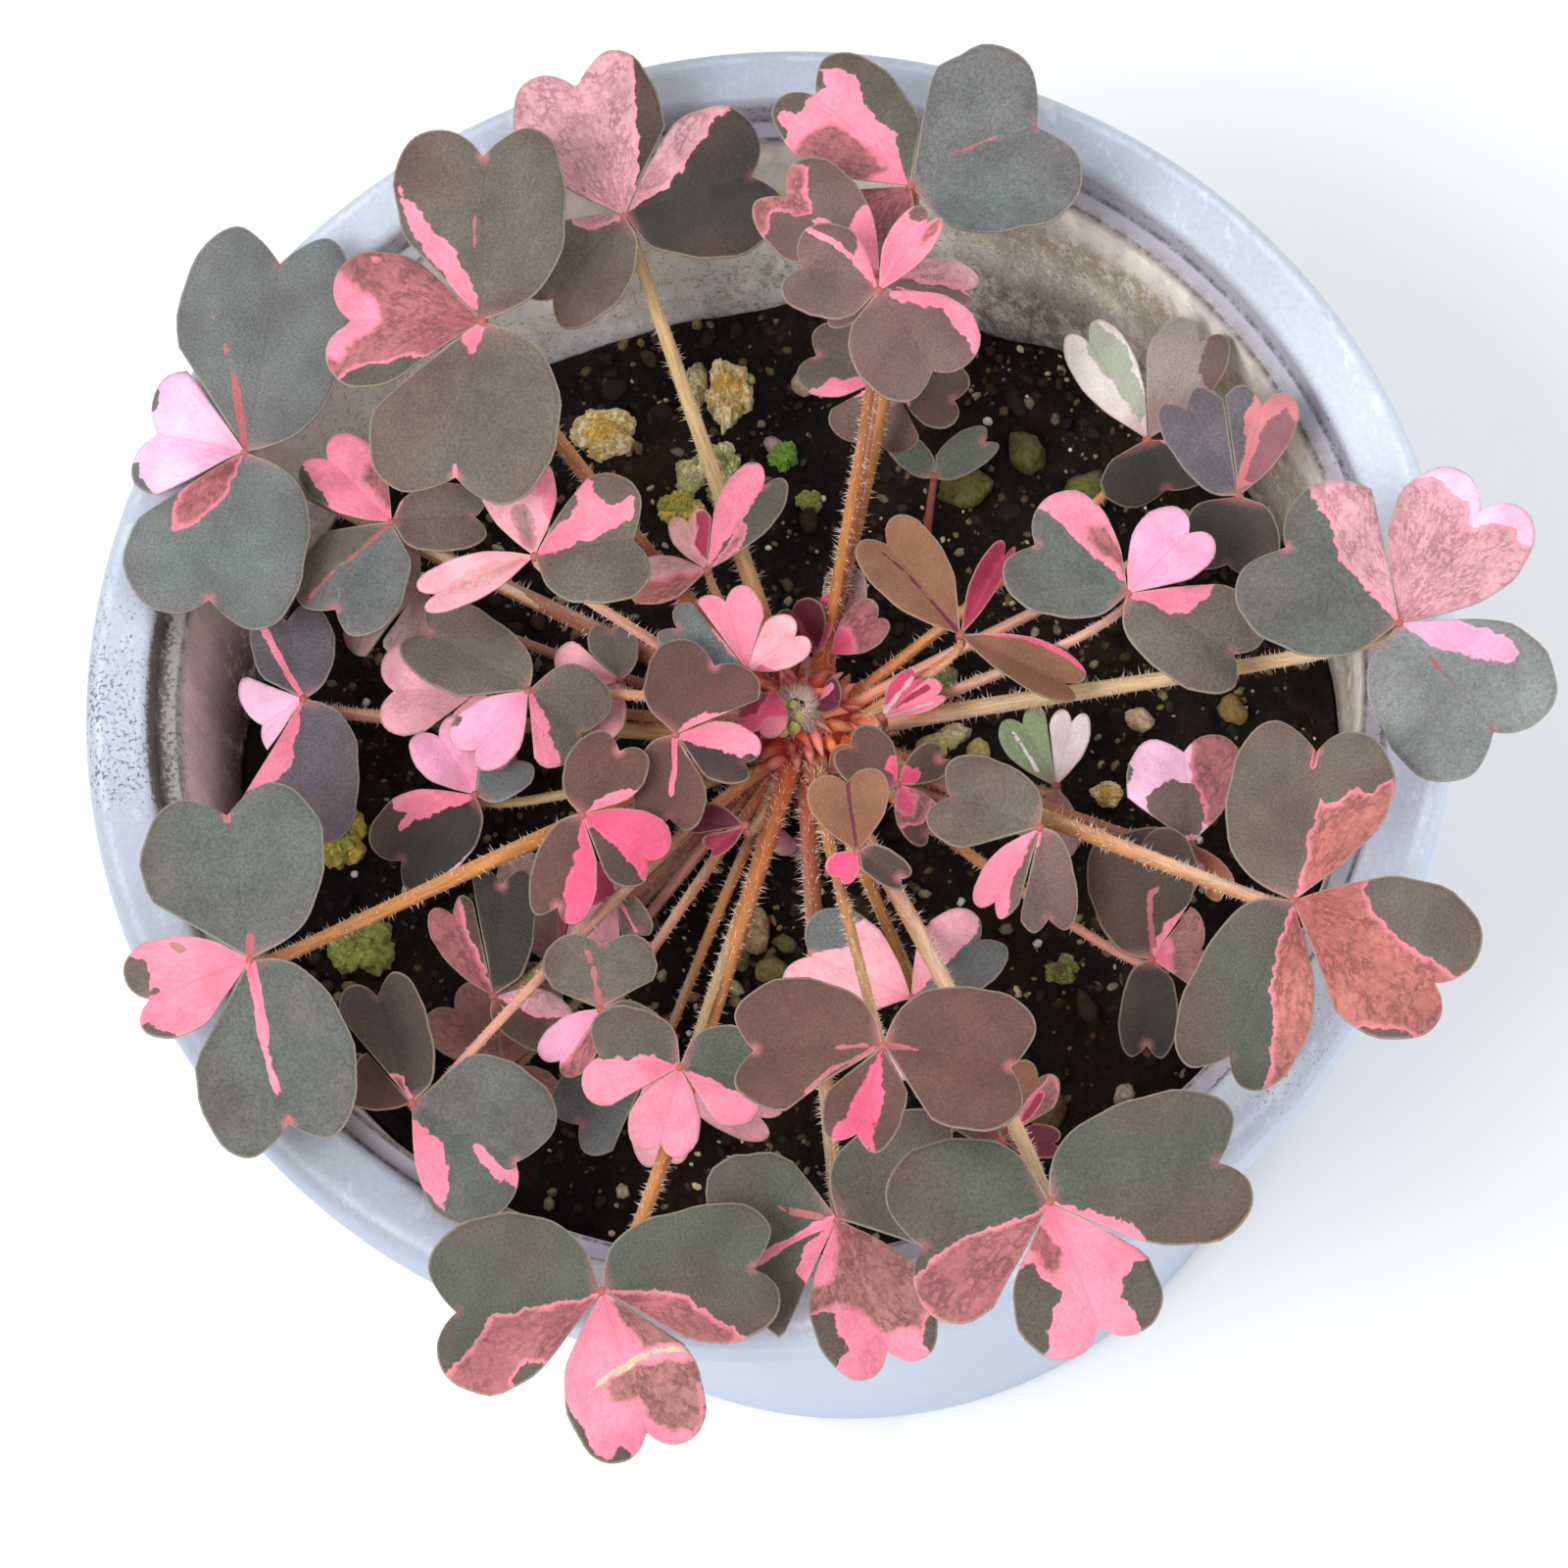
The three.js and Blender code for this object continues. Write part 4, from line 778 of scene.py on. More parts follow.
def moulded_plastic(pot):
    """Moulded polypropylene, some seasons old. A satin pale skin with fine algae specks, brown dirt on the
    ledge, and a stained inner wall: mauve on the left, lime and algae at the back, crust on the right.
    The rim carries painted shade and light and a painted highlight along its lip, and the inner wall is
    painted lighter towards the back."""
    made, add = material("moulded_polypropylene")
    top, rim = pot.height, pot.rim_radius
    here = add(SCALED, add("TexCoord", out="Object"), 1 / MM)
    x, y, z = add("SeparateXYZ", here).node.outputs
    radius = add("VectorMath.LENGTH", add("CombineXYZ", x, y))
    # blots by their size in mm, detail, roughness and stretch
    large, drift, crusty, patchy, streaks, scuff, fibres, dots, small = (
        add(NOISE, add(STRETCHED, here, stretch), 1 / size, detail, roughness)
        for size, detail, roughness, stretch in (
            (18, 4, 0.65, (1, 1, 1)), (16, 3, 0.65, (1, 1, 1)), (5, 6, 0.75, (1, 1, 1)),
            (3, 4, 0.65, (1, 1, 1)), (2.6, 5, 0.75, (1, 1, 0.25)), (1.4, 6, 0.8, (1, 0.4, 1)),
            (1.3, 5, 0.8, (1, 1, 0.6)), (0.5, 3, 0.65, (1, 1, 1)), (0.42, 5, 0.75, (1, 1, 1))))
    taper = (pot.mouth_radius - pot.floor_radius) / (top - MOUTH_DROP - pot.floor_top)
    depth = add(MINUS, radius, add(TIMES_PLUS, z, taper, pot.floor_radius - 0.44))
    inside = add(TIMES, add(RAMP, depth, 0.9, 0.6), add(RAMP, z, top - 3.2, top - 4.4))
    on_left, on_right, at_back = add(RAMP, x, -25, -42), add(RAMP, x, 0, 22), add(RAMP, y, 25, 42)
    down = add(TIMES_PLUS, large, 9, add(MINUS, top, z))

    # the film darkens in bands, as the mix sank over the seasons
    mauve = add(TIMES, on_left, add(RAMP, y, 30, 16))
    stain = add(BLEND, mauve, pot.wall_stain, pot.mauve_stain)
    wash = add(TIMES, add(RAMP, crusty, 0.46, 0.55), 0.9, add(RAMP, x, -40, -10))
    stain = add(BLEND, wash, stain, pot.crust)
    band = add(TIMES, add(RAMP, down, 12, 14.5), add(RAMP, down, 24, 20))
    brown = add(TIMES, band, on_right, add(RAMP, fibres, 0.4, 0.54, 0.1, 0.85))
    stain = add(BLEND, brown, stain, add(SCALED, pot.dirt, add(RAMP, small, 0.4, 0.6, 0.7, 1.15)))
    green = add(TIMES, add(RAMP, crusty, 0.52, 0.57), at_back, add(RAMP, down, 13, 17, 0, 0.85))
    green = add(TIMES, green, add(TIMES, add(RAMP, x, 16, 2), add(RAMP, x, -24, -10)))
    stain = add(BLEND, green, stain, pot.algae)
    low = add(TIMES, add(RAMP, down, 21, 25), add(RAMP, x, -40, -20), add(RAMP, x, -10, 20, 0.8, 0.5))
    stain = add(BLEND, low, stain, add(BLEND, on_right, pot.blue_film, pot.deep_stain))
    deep = add(TIMES, add(RAMP, down, 18, 25, 0, 0.9), on_left, add(RAMP, y, 26, 8))
    stain = add(BLEND, deep, stain, pot.deep_stain)
    # dried lime near the mix; the streaks vary the film's tone and the inner wall is painted lighter, most at
    # the back, a painted light; and dark points of grime
    lime = add(TIMES, add(RAMP, down, 17, 21), add(RAMP, fibres, 0.52, 0.6), add(RAMP, y, -10, 20), 0.8)
    stain = add(BLEND, lime, stain, pot.crust)
    lift = add(TIMES, add(RAMP, streaks, 0.35, 0.65, 0.82, 1.12), add(RAMP, y, 0, 40, 1.35, 1.5))
    stain = add(SCALED, stain, lift)
    points = add(TIMES, add(RAMP, small, 0.56, 0.62), add(RAMP, down, 8, 20, 0.15, 0.6))
    stain = add(BLEND, points, stain, pot.grime)
    damp = add(TIMES, add(RAMP, down, 21, 28), add(RAMP, x, -12, 14, 0.3))
    stain = add(BLEND, add(TIMES, damp, add(RAMP, fibres, 0.42, 0.58, 0, 0.8)), stain, pot.grime)

    # the rim's tone varies in places and its face is scuffed pale; the spots paint it darker at the back, the
    # left and the lower left, a painted shade, and lighter on the right, a painted light
    tone_and_painted_light = add(TIMES, add(RAMP, large, 0.3, 0.7, 0.93, 1.05), add(RAMP, dots, 0.3, 0.7, 0.93, 1.07))
    for spot, reach, shade in (((-4, 62, top), 34, 0.66), ((-44, -44, top), 44, 0.57),
                               ((-62, 0, top), 30, 0.9), ((30, 52, top), 30, 0.93), ((60, -6, top), 42, 1.5)):
        tone_and_painted_light = add(TIMES, tone_and_painted_light, add(RAMP, add(DISTANCE, here, spot), 4, reach, shade))
    # a thin pale line round the corner of the lip, broken up in patches, is a painted highlight
    off_lip = add(SIZE, add(MINUS, radius, rim - 1.5))
    painted_highlight_share = add(TIMES, add(RAMP, off_lip, 0.5, 0.1), add(RAMP, patchy, 0.35, 0.6))
    tone_and_painted_light = add(TIMES, tone_and_painted_light, add(RAMP, painted_highlight_share, 0, 1, 1, 1.24), add(RAMP, scuff, 0.57, 0.64, 1, 1.2))
    shell = add(SCALED, pot.plastic, tone_and_painted_light)
    shell = add(BLEND, add(RAMP, z, top - 0.5, top - 1.6, 0, 0.45), shell, pot.skirt_blue)
    ledge = add(TIMES, add(RAMP, radius, rim - 5.5, rim - 5.9), add(RAMP, z, top - 5, top - 3.8))
    film = add(BLEND, on_left, pot.ledge_film, pot.tan_film)
    shell = add(BLEND, add(TIMES, ledge, 0.85), shell, film)
    dusted = add(TIMES, ledge, on_right, add(RAMP, radius, rim - 6.5, rim - 7.7, 0, 0.9),
                 add(RAMP, fibres, 0.38, 0.6, 0.2))
    shell = add(BLEND, dusted, shell, pot.tan_film)
    # two fine dirt lines run round the ledge, where it meets the rim and the wall
    for line_radius in (rim - 6.3, rim - 8):
        off_line = add(SIZE, add(MINUS, radius, line_radius))
        seam = add(TIMES, add(RAMP, off_line, 0.28, 0.1), add(RAMP, fibres, 0.4, 0.56, 0.25, 0.8), ledge)
        shell = add(BLEND, seam, shell, pot.grime)
    skin = add(BLEND, inside, shell, stain)

    # fine algae specks, thickest on the ledge and in three places
    groove = add(TIMES, ledge, add(RAMP, radius, rim - 7.4, rim - 6.4), 0.13)
    level = add(PLUS, small, add(RAMP, drift, 0.4, 0.65, -0.1, 0), groove, add(TIMES, ledge, on_left, 0.05))
    for spot, reach, rise in (((-58, 0, top), 20, 0.17), ((43, -35, top), 13, 0.15),
                              ((59, -4, top), 15, 0.1)):
        level = add(PLUS, level, add(RAMP, add(DISTANCE, here, spot), reach * 0.4, reach, rise, 0))
    level = add(PLUS, level, add(RAMP, z, top - 7, top - 2, -0.12, 0))
    skin = add(BLEND, add(RAMP, level, 0.67, 0.74, 0, 0.75), skin, pot.grime)

    relief = add(TIMES_PLUS, inside, crusty, small)
    bump = add("Bump", Strength=0.2, Distance=0.3 * MM, Height=relief)
    gloss = add(RAMP, inside, 0, 1, 0.4, 0.8)
    add("OutputMaterial", add("BsdfPrincipled", Base_Color=skin, Roughness=gloss, Normal=bump, IOR=1.49))
    return made


def peat_mix(mix):
    """Damp peat. Nearly black between the crumbs and brown where it dries."""
    made, add = material("damp_peat_mix")
    here = add("TexCoord", out="Object")
    # crumbs 1.4 mm apart, fibres of 0.6 mm and drier places of 9 mm
    crumb, fine, broad = (add("TexVoronoi", here, 700), add(NOISE, here, 1600, 5, 0.7),
                          add(NOISE, here, 110, 4, 0.6))
    skin = add(BLEND, add(TIMES, add(RAMP, broad, 0.42, 0.68), fine), mix.peat, mix.bark)
    bump = add("Bump", Strength=0.9, Distance=0.6 * MM, Height=add(TIMES_PLUS, crumb, -0.6, fine))
    damp = add(RAMP, fine, 0.35, 0.65, 0.95, 0.55)
    add("OutputMaterial", add("BsdfPrincipled", Base_Color=skin, Roughness=damp, Normal=bump,
                              Specular_IOR_Level=0.3))
    return made


# ---- pot ----------------------------------------------------------------------------------------
MOUTH_DROP = 4          # from the rim down to the top of the wall
POT_SIDES = 160
BEND = 0.45             # radius that rounds each corner of the pot's profile
SHARP_EDGE = 50         # degrees
DRAIN_HOLES, DRAIN_RADIUS, DRAIN_FROM_MIDDLE = 8, 3.5, 26
FOOT_GAPS, GAP_INNER, GAP_OUTER, GAP_HALF, GAP_HEIGHT = 4, 35, 44, 4.5, 1.5


def rounded(profile, radius):
    """The profile with each corner replaced by a short curve."""
    corners = [np.array(p, float) for p in profile]
    line = [corners[0]]
    for before, here, after in zip(corners, corners[1:], corners[2:]):
        start, end = (here + v / np.linalg.norm(v) * min(radius, np.linalg.norm(v) * 0.45)
                      for v in (before - here, after - here))
        for t in (0, 0.25, 0.5, 0.75, 1):
            line.append((1 - t) ** 2 * start + 2 * t * (1 - t) * here + t ** 2 * end)
    return np.array([*line, corners[-1]])


class SHAMROCK_OT_pot(bpy.types.Operator):
    """Turns the plastic pot, with its lip, ledge, drain holes and foot gaps"""
    bl_idname = "shamrock.pot"
    bl_label = "Pot"

    def execute(self, context):
        pot = in_mm(context.scene.shamrock_pot)
        top, rim, mouth, floor = pot.height, pot.rim_radius, pot.mouth_radius, pot.floor_radius
        profile = rounded([
            (0, 0), (14, 0), (15.5, 2), (35.5, 2), (37, 0), (floor + 1, 0), (floor + pot.wall, 1),
            (mouth + pot.wall - 0.2, top - 5), (rim - 4.6, top - 4.8), (rim - 4.4, top - 1.8),
            (rim - 2, top - 1.8), (rim - 1.7, top - 8.5), (rim - 0.4, top - 8.5), (rim, top - 2.2),
            (rim - 0.4, top - 0.9), (rim - 1.2, top - 0.2), (rim - 2.2, top), (rim - 5.2, top),
            (rim - 5.9, top - 0.7), (rim - 6.1, top - 3), (mouth + 0.3, top - 3.2), (mouth, top - MOUTH_DROP),
            (floor, pot.floor_top), (0, pot.floor_top),
        ], BEND)
        turn = np.linspace(0, FULL_TURN, POT_SIDES, endpoint=False)
        rings = [np.stack([r * np.cos(turn), r * np.sin(turn), np.full(POT_SIDES, z)], 1)
                 for r, z in profile[1:-1]]
        points = np.vstack([*rings, [(0, 0, profile[0][1]), (0, 0, profile[-1][1])]])
        below, last = len(rings) * POT_SIDES, (len(rings) - 1) * POT_SIDES
        faces = ring_faces(len(rings), POT_SIDES)
        faces += [(below, (k + 1) % POT_SIDES, k) for k in range(POT_SIDES)]
        faces += [(below + 1, last + k, last + (k + 1) % POT_SIDES) for k in range(POT_SIDES)]
        batch = Batch()
        batch.add(points, faces)
        made = batch.piece("pot_shell", moulded_plastic(pot), "pot_plastic", ["pot"])
        cutter = Batch()
        for i in range(DRAIN_HOLES):
            t = FULL_TURN * (i + 0.5) / DRAIN_HOLES
            x, y = DRAIN_FROM_MIDDLE * math.cos(t), DRAIN_FROM_MIDDLE * math.sin(t)
            cutter.add(*tube([(x, y, 1), (x, y, 3), (x, y, pot.floor_top + 1)], [DRAIN_RADIUS] * 3, 32))
        for i in range(FOOT_GAPS):
            t = FULL_TURN * i / FOOT_GAPS
            out, side = np.array([math.cos(t), math.sin(t), 0]), np.array([-math.sin(t), math.cos(t), 0])
            corners = ((GAP_INNER, -GAP_HALF), (GAP_OUTER, -GAP_HALF),
                       (GAP_OUTER, GAP_HALF), (GAP_INNER, GAP_HALF))
            box = [out * r + side * s + (0, 0, z) for z in (-GAP_HEIGHT, GAP_HEIGHT) for r, s in corners]
            cutter.add(np.array(box), [(3, 2, 1, 0), (4, 5, 6, 7), *ring_faces(2, 4)])
        holes = bpy.data.meshes.new("holes")
        holes.from_pydata((np.vstack(cutter.points) * MM).tolist(), [], cutter.faces)
        holes_object = bpy.data.objects.new("holes", holes)
        context.scene.collection.objects.link(holes_object)
        cut = made.modifiers.new("holes", "BOOLEAN")
        cut.operation, cut.solver, cut.object = "DIFFERENCE", "EXACT", holes_object
        settle(made)
        bpy.data.objects.remove(holes_object)
        made.data.shade_smooth()
        made.data.set_sharp_from_angle(angle=math.radians(SHARP_EDGE))
        return {"FINISHED"}


def settle(made):
    """Applies the modifiers to the mesh."""
    bpy.context.view_layer.update()
    evaluated = made.evaluated_get(bpy.context.evaluated_depsgraph_get())
    mesh = bpy.data.meshes.new_from_object(evaluated)
    made.modifiers.clear()
    made.data = mesh


# ---- potting mix --------------------------------------------------------------------------------
MIX_SEED = 7
BED_POINTS = 236        # along each side of the bed's net
MOUNDS = 8              # in each clump of moss
CLEARANCE = 0.3         # between the mix and the wall
NEAR_WALL = 48          # where the height of the mix's edge is taken
EDGE_DROP, EDGE_FROM = 1.1, 0.93        # the edge rounds down over the outer part of its reach
# what is strewn: smallest and largest radius, net, and shares of humus, bark, akadama, pumice and rust
GRAIN_KIND = (0.5, 1.3, (7, 10), [0.8, 0.12, 0.06, 0.02, 0.0])
CRUMB_KIND = (0.18, 0.62, (4, 6), [0.38, 0.16, 0.26, 0.17, 0.03])
PERLITE_RADIUS = (0.15, 0.5)
CROWN_CLEAR = 6.5       # no grain lies nearer to the middle of the crown


def wall_radius(pot, z):
    """Inside of the wall at a height."""
    share = (z - pot.floor_top) / (pot.height - MOUTH_DROP - pot.floor_top)
    return pot.floor_radius + (pot.mouth_radius - pot.floor_radius) * share


# single pebbles: x, y, radius, colour
PEBBLES = [
    (15.9, 27, 2.1, "#6b6a33"), (-3.4, -15.7, 1.9, "#a58c6a"), (31.6, 2.7, 1.2, "#c8ad90"),
    (40, 3.3, 1.3, "#84683c"), (23, -34.2, 1.7, "#6a5636"), (12.5, 1.2, 1.5, "#cdbf7e"),
    (14.8, 2.6, 1.3, "#ddd2a0"), (17, 0.4, 1.2, "#b9ab66"), (11.3, 6.1, 1.7, "#a9ad6c"),
    (13.6, 8.2, 1.5, "#8f9a5c"), (27, 26, 2.0, "#63602f"), (21.5, 30.5, 1.8, "#5d5b30"),
    (1.3, 39.8, 1.4, "#b79f86"), (-2, 33.3, 0.9, "#b5a097"), (29.7, -33.2, 0.9, "#c4b79c"),
    (-11.5, -27, 1.5, "#8d7f5a"), (-24, -17, 1.4, "#8a7d5c"), (-30, 8, 1.5, "#7d6c46"),
    (-4.4, -18.4, 0.9, "#6e6a3c"), (-1.4, -19.9, 1.4, "#7b6f3d"), (-4.8, -21.3, 0.8, "#b5a888"),
    (0.6, -21.3, 0.8, "#8f8a5e"), (-6.5, -21, 0.7, "#c9c0a8"), (-0.3, -17.2, 0.9, "#5d5a33"),
    (-20, -13.6, 1.1, "#8a7a5a"),
]

# moss: x, y, half width, half depth, height, tone of the core and of the skirt
MOSS = [
    (-6.0, 38.3, 2.5, 3.2, 3.2, "moss_yellow", "moss_cream"),
    (-9.2, 39.4, 1.3, 2.4, 2.2, "moss_cream", "akadama"),
    (-17.6, 34.3, 3.0, 2.7, 2.4, "moss_yellow", "moss_cream"),
    (-7.0, 31.0, 2.2, 2.4, 1.7, "moss_green", "moss_cream"),
    (-9.6, 29.5, 1.5, 1.8, 1.4, "moss_cream", "moss_green"),
    (-5.5, 27.8, 2.6, 2.2, 1.3, "frond", "moss_green"), (-1.0, 32.0, 1.3, 1.7, 1.6, "frond", "frond"),
    (1.4, 27.3, 1.2, 1.2, 1.3, "moss_green", "moss_green"),
    (-10.5, 26.5, 2.0, 1.6, 1.1, "moss_green", "moss_yellow"),
    (-40.4, -6.8, 2.6, 3.0, 1.4, "moss_green", "moss_yellow"),
    (-38, -17, 3.0, 2.6, 1.5, "moss_green", "moss_green"),
    (24.5, -21, 1.6, 1.4, 0.9, "akadama", "moss_green"),
    (28.5, -4, 1.5, 1.2, 1.0, "moss_yellow", "moss_cream"),
]


def surface_height(mix, x, y):
    """Height of the mix without its crumbs."""
    swell = np.sin(x * 0.21 + 1) * np.cos(y * 0.17 - 2) + 0.5 * np.sin(x * 0.47 - y * 0.39)
    lumps = mix.relief * swell * np.minimum(1, np.hypot(x, y) / 25)
    return mix.top - mix.slope * y + mix.dish * x * x + lumps


def crumbly(x, y):
    """Relief of the crumbs in the surface, mm."""
    place = Vector((x, y, 0))
    large, small, tiny = (noise.voronoi(place * scale + Vector(shift))[0][0] for scale, shift in
                          ((0.42, (0, 0, 0)), (1.05, (9, 4, 0)), (2.1, (3, 8, 0))))
    return 1.1 * (0.5 - large) + 0.6 * (0.4 - small) + 0.4 * (0.4 - tiny) + 0.5 * noise.noise(place * 0.2)


def stone(radius, squash, detail, draws):
    """An irregular grain about the origin."""
    points, faces = ball((0, 0, 0), (1, 1, 1), *detail)
    offset = Vector(draws.uniform(-50, 50, 3))
    swell = np.array([1 + 0.38 * noise.noise(Vector(p) * 1.3 + offset)
                      + 0.14 * noise.noise(Vector(p) * 3.1 + offset) for p in points])
    turn = (Matrix.Rotation(draws.uniform(0, ANY_TURN), 3, "Z")
            @ Matrix.Rotation(draws.uniform(-0.7, 0.7), 3, "X"))
    return (points * swell[:, None] * radius * squash) @ np.array(turn).T, faces


class SHAMROCK_OT_potting_mix(bpy.types.Operator):
    """Heaps the potting mix, its grains, crumbs, perlite and moss"""
    bl_idname = "shamrock.potting_mix"
    bl_label = "Potting mix"

    def execute(self, context):
        pot, mix = in_mm(context.scene.shamrock_pot), in_mm(context.scene.shamrock_mix)
        draws = np.random.default_rng(MIX_SEED)
        self.bed(pot, mix)
        # crushed mineral grains and bark: matt, pitted, each with its own tint
        gritty = tinted("crushed_mineral_and_bark", 0.45, 0.85, 0.7, 0.45)
        grains = self.strewn(pot, mix, draws, mix.grains, *GRAIN_KIND)
        crumbs = self.strewn(pot, mix, draws, mix.crumbs, *CRUMB_KIND)
        for x, y, radius, tint in PEBBLES:
            points, faces = stone(radius, np.array([1.15, 0.9, 0.8]), (10, 14), draws)
            level = surface_height(mix, x, y) + radius * 0.35
            grains.add(points + (x, y, level), faces, tint=(*linear(tint), 1))
        grains.piece("mix_grains", gritty, "potting_mix")
        crumbs.piece("mix_crumbs", gritty, "potting_mix")

        # expanded perlite: white, matt, foamy
        foamy = tinted("expanded_perlite", 0.2, 0.9, 0.5, 0.12)
        self.perlite(pot, mix, draws).piece("perlite_specks", foamy, "potting_mix")
        # cushion moss: packed tips with a soft matt bloom
        mossy = tinted("cushion_moss", 0.28, 0.9, 0.5, 0.3, 0.3)
        self.moss(mix, draws).piece("moss_cushions", mossy, "potting_mix")
        return {"FINISHED"}

    def strewn(self, pot, mix, draws, count, low, high, detail, shares):
        """Bits of one kind, most of them small, scattered over the mix."""
        kinds = [mix.humus, mix.bark, mix.akadama, mix.pumice, mix.rust]
        batch = Batch()
        for _ in range(count):
            x, y = self.spot(pot, draws)
            radius = low + (high - low) * draws.random() ** 2.4
            tint = np.array(kinds[draws.choice(len(kinds), p=shares)]) * draws.uniform(0.6, 1.35)
            # the bright crumbs lie in drifts
            tint = tint * np.clip(0.75 + 2.4 * noise.noise(Vector((x * 0.11, y * 0.11, 3))), 0.35, 1.6)
            squash = np.array([1.15, 0.85, 0.7]) * draws.uniform(0.8, 1.2, 3)
            points, faces = stone(radius, squash, detail, draws)
            level = surface_height(mix, x, y) + crumbly(x, y) + radius * draws.uniform(-0.35, 0.3)
            batch.add(points + (x, y, level), faces, tint=(*tint, 1))
        return batch

    def perlite(self, pot, mix, draws):
        """White specks on the mix."""
        specks = Batch()
        for _ in range(mix.perlite):
            x, y = self.spot(pot, draws)
            radius = draws.uniform(*PERLITE_RADIUS)
            points, faces = stone(radius, np.array([1.0, 0.9, 0.8]), (5, 7), draws)
            level = surface_height(mix, x, y) + crumbly(x, y) + radius * 0.5 + 0.1
            specks.add(points + (x, y, level), faces, tint=(*mix.glass, 1))
        return specks

    @staticmethod
    def moss(mix, draws):
        """Clumps of moss, each a ring of small mounds around a taller one."""
        cushions = Batch()
        for cx, cy, wide, deep, tall, core, skirt in MOSS:
            core, skirt = (np.array(getattr(mix, tone)) for tone in (core, skirt))
            for k in range(MOUNDS):
                away = 0.68 * math.sqrt(k / MOUNDS)
                px = cx + wide * away * math.cos(SPIRAL * k + cx)
                py = cy + deep * away * math.sin(SPIRAL * k + cx)
                size = np.array([wide, deep, tall]) * draws.uniform(0.4, 0.6, 3) * (1, 1, 1.75 - away)
                points, faces = ball((0, 0, 0), (1, 1, 1), 16, 24)
                offset = Vector(draws.uniform(-50, 50, 3))
                lobes, frills, fine = (np.array([noise.noise(Vector(p) * scale + offset) for p in points])
                                       for scale in (1.9, 4.5, 9.0))
                swell = 1 + 0.34 * lobes + 0.26 * frills + 0.16 * fine
                edge = np.clip(away * 1.4 - 0.2 + 0.8 * frills, 0, 1)[:, None]
                # the bulges, swollen by the same noise, are painted lighter and the hollows darker, a painted
                # shade
                light = (0.62 + 0.75 * np.clip(0.5 + frills + 0.9 * fine, 0, 1))[:, None]
                # the painted shade is warmer where it is deepest
                tint = ((1 - edge) * core + edge * skirt) * light ** (0.75, 1.0, 1.9)
                tint = tint * draws.uniform(0.85, 1.15)
                place = points * swell[:, None] * size + (px, py, surface_height(mix, px, py) + 0.1)
                cushions.add(place, faces, tint=tinted_rows(tint))
        return cushions

    @staticmethod
    def spot(pot, draws):
        """A place on the mix, off the crown."""
        while True:
            radius = (wall_radius(pot, CROWN[2]) - 1.6) * math.sqrt(draws.random())
            t = draws.uniform(0, ANY_TURN)
            x, y = radius * math.cos(t), radius * math.sin(t)
            if math.hypot(x - CROWN[0], y - CROWN[1]) > CROWN_CLEAR:
                return x, y

    @staticmethod
    def bed(pot, mix):
        """The mix down to the floor, with a crumbly top."""
        count = BED_POINTS
        line = np.linspace(-1, 1, count)
        u, v = np.meshgrid(line, line, indexing="ij")
        x, y = (u * np.sqrt(1 - v * v / 2)).ravel(), (v * np.sqrt(1 - u * u / 2)).ravel()
        reach = np.hypot(x, y)
        at_wall = [surface_height(mix, NEAR_WALL * a / max(r, 1e-6), NEAR_WALL * b / max(r, 1e-6)) - 1
                   for a, b, r in zip(x, y, reach)]
        edge = wall_radius(pot, np.array(at_wall)) - CLEARANCE
        x, y = x * edge, y * edge
        z = surface_height(mix, x, y) - EDGE_DROP * np.clip((reach - EDGE_FROM) / (1 - EDGE_FROM), 0, 1)
        fade = np.clip((1.0 - reach) / 0.03, 0.25, 1)
        z = z + fade * np.array([crumbly(a, b) for a, b in zip(x, y)])
        faces = [(i * count + j, (i + 1) * count + j, (i + 1) * count + j + 1, i * count + j + 1)
                 for i in range(count - 1) for j in range(count - 1)]
        rim = ([i * count for i in range(count)] + [(count - 1) * count + j for j in range(1, count)]
               + [i * count + count - 1 for i in range(count - 2, -1, -1)] + list(range(count - 2, 0, -1)))
        bottom = pot.floor_top + CLEARANCE
        lower = wall_radius(pot, bottom) - CLEARANCE
        first = len(x)
        stretch = [lower / math.hypot(x[i], y[i]) for i in rim]
        ring = [(x[i] * s, y[i] * s, bottom) for i, s in zip(rim, stretch)]
        points = np.vstack([np.stack([x, y, z], 1), ring])
        for k, i in enumerate(rim):
            after = (k + 1) % len(rim)
            faces.append((rim[after], i, first + k, first + after))
        faces.append([first + k for k in range(len(rim))])
        batch = Batch()
        batch.add(points, faces)
        batch.piece("mix_bed", peat_mix(mix), "potting_mix", ["soil"])


# ---- stalks and crown ---------------------------------------------------------------------------
STALK_SEED, CROWN_SEED, YOUNG_SEED = 21, 5, 900
STALK_STEPS, STALK_SIDES, STALK_HAIR = 26, 11, 0.048
LARGE_LEAF = 12         # a leaflet longer than this sits on a large stalk
CROWN_SIDES, SCALES, SCALE_STEPS, SCALE_SIDES = 36, 96, 8, 8
SPIRAL = 2.4            # turn from one scale or mound to the next, radians
FLUFF_HAIRS, FLUFF_HAIR = 4400, 0.08
SPROUT = np.array([-1.0, -1.0, 10.3])   # from the middle of the crown
SPROUT_LEAVES = 7


def tinted_rows(colours):
    """Colours with the fourth value that a colour attribute holds."""
    return np.hstack([colours, np.ones((len(colours), 1))])


def stalk_draws(index):
    """The same three draws that bent this stalk's solid."""
    state = 77777 * (index + 1)
    while True:
        state = (state * 1664525 + 1013904223) % 4294967296
        yield state / 4294967296


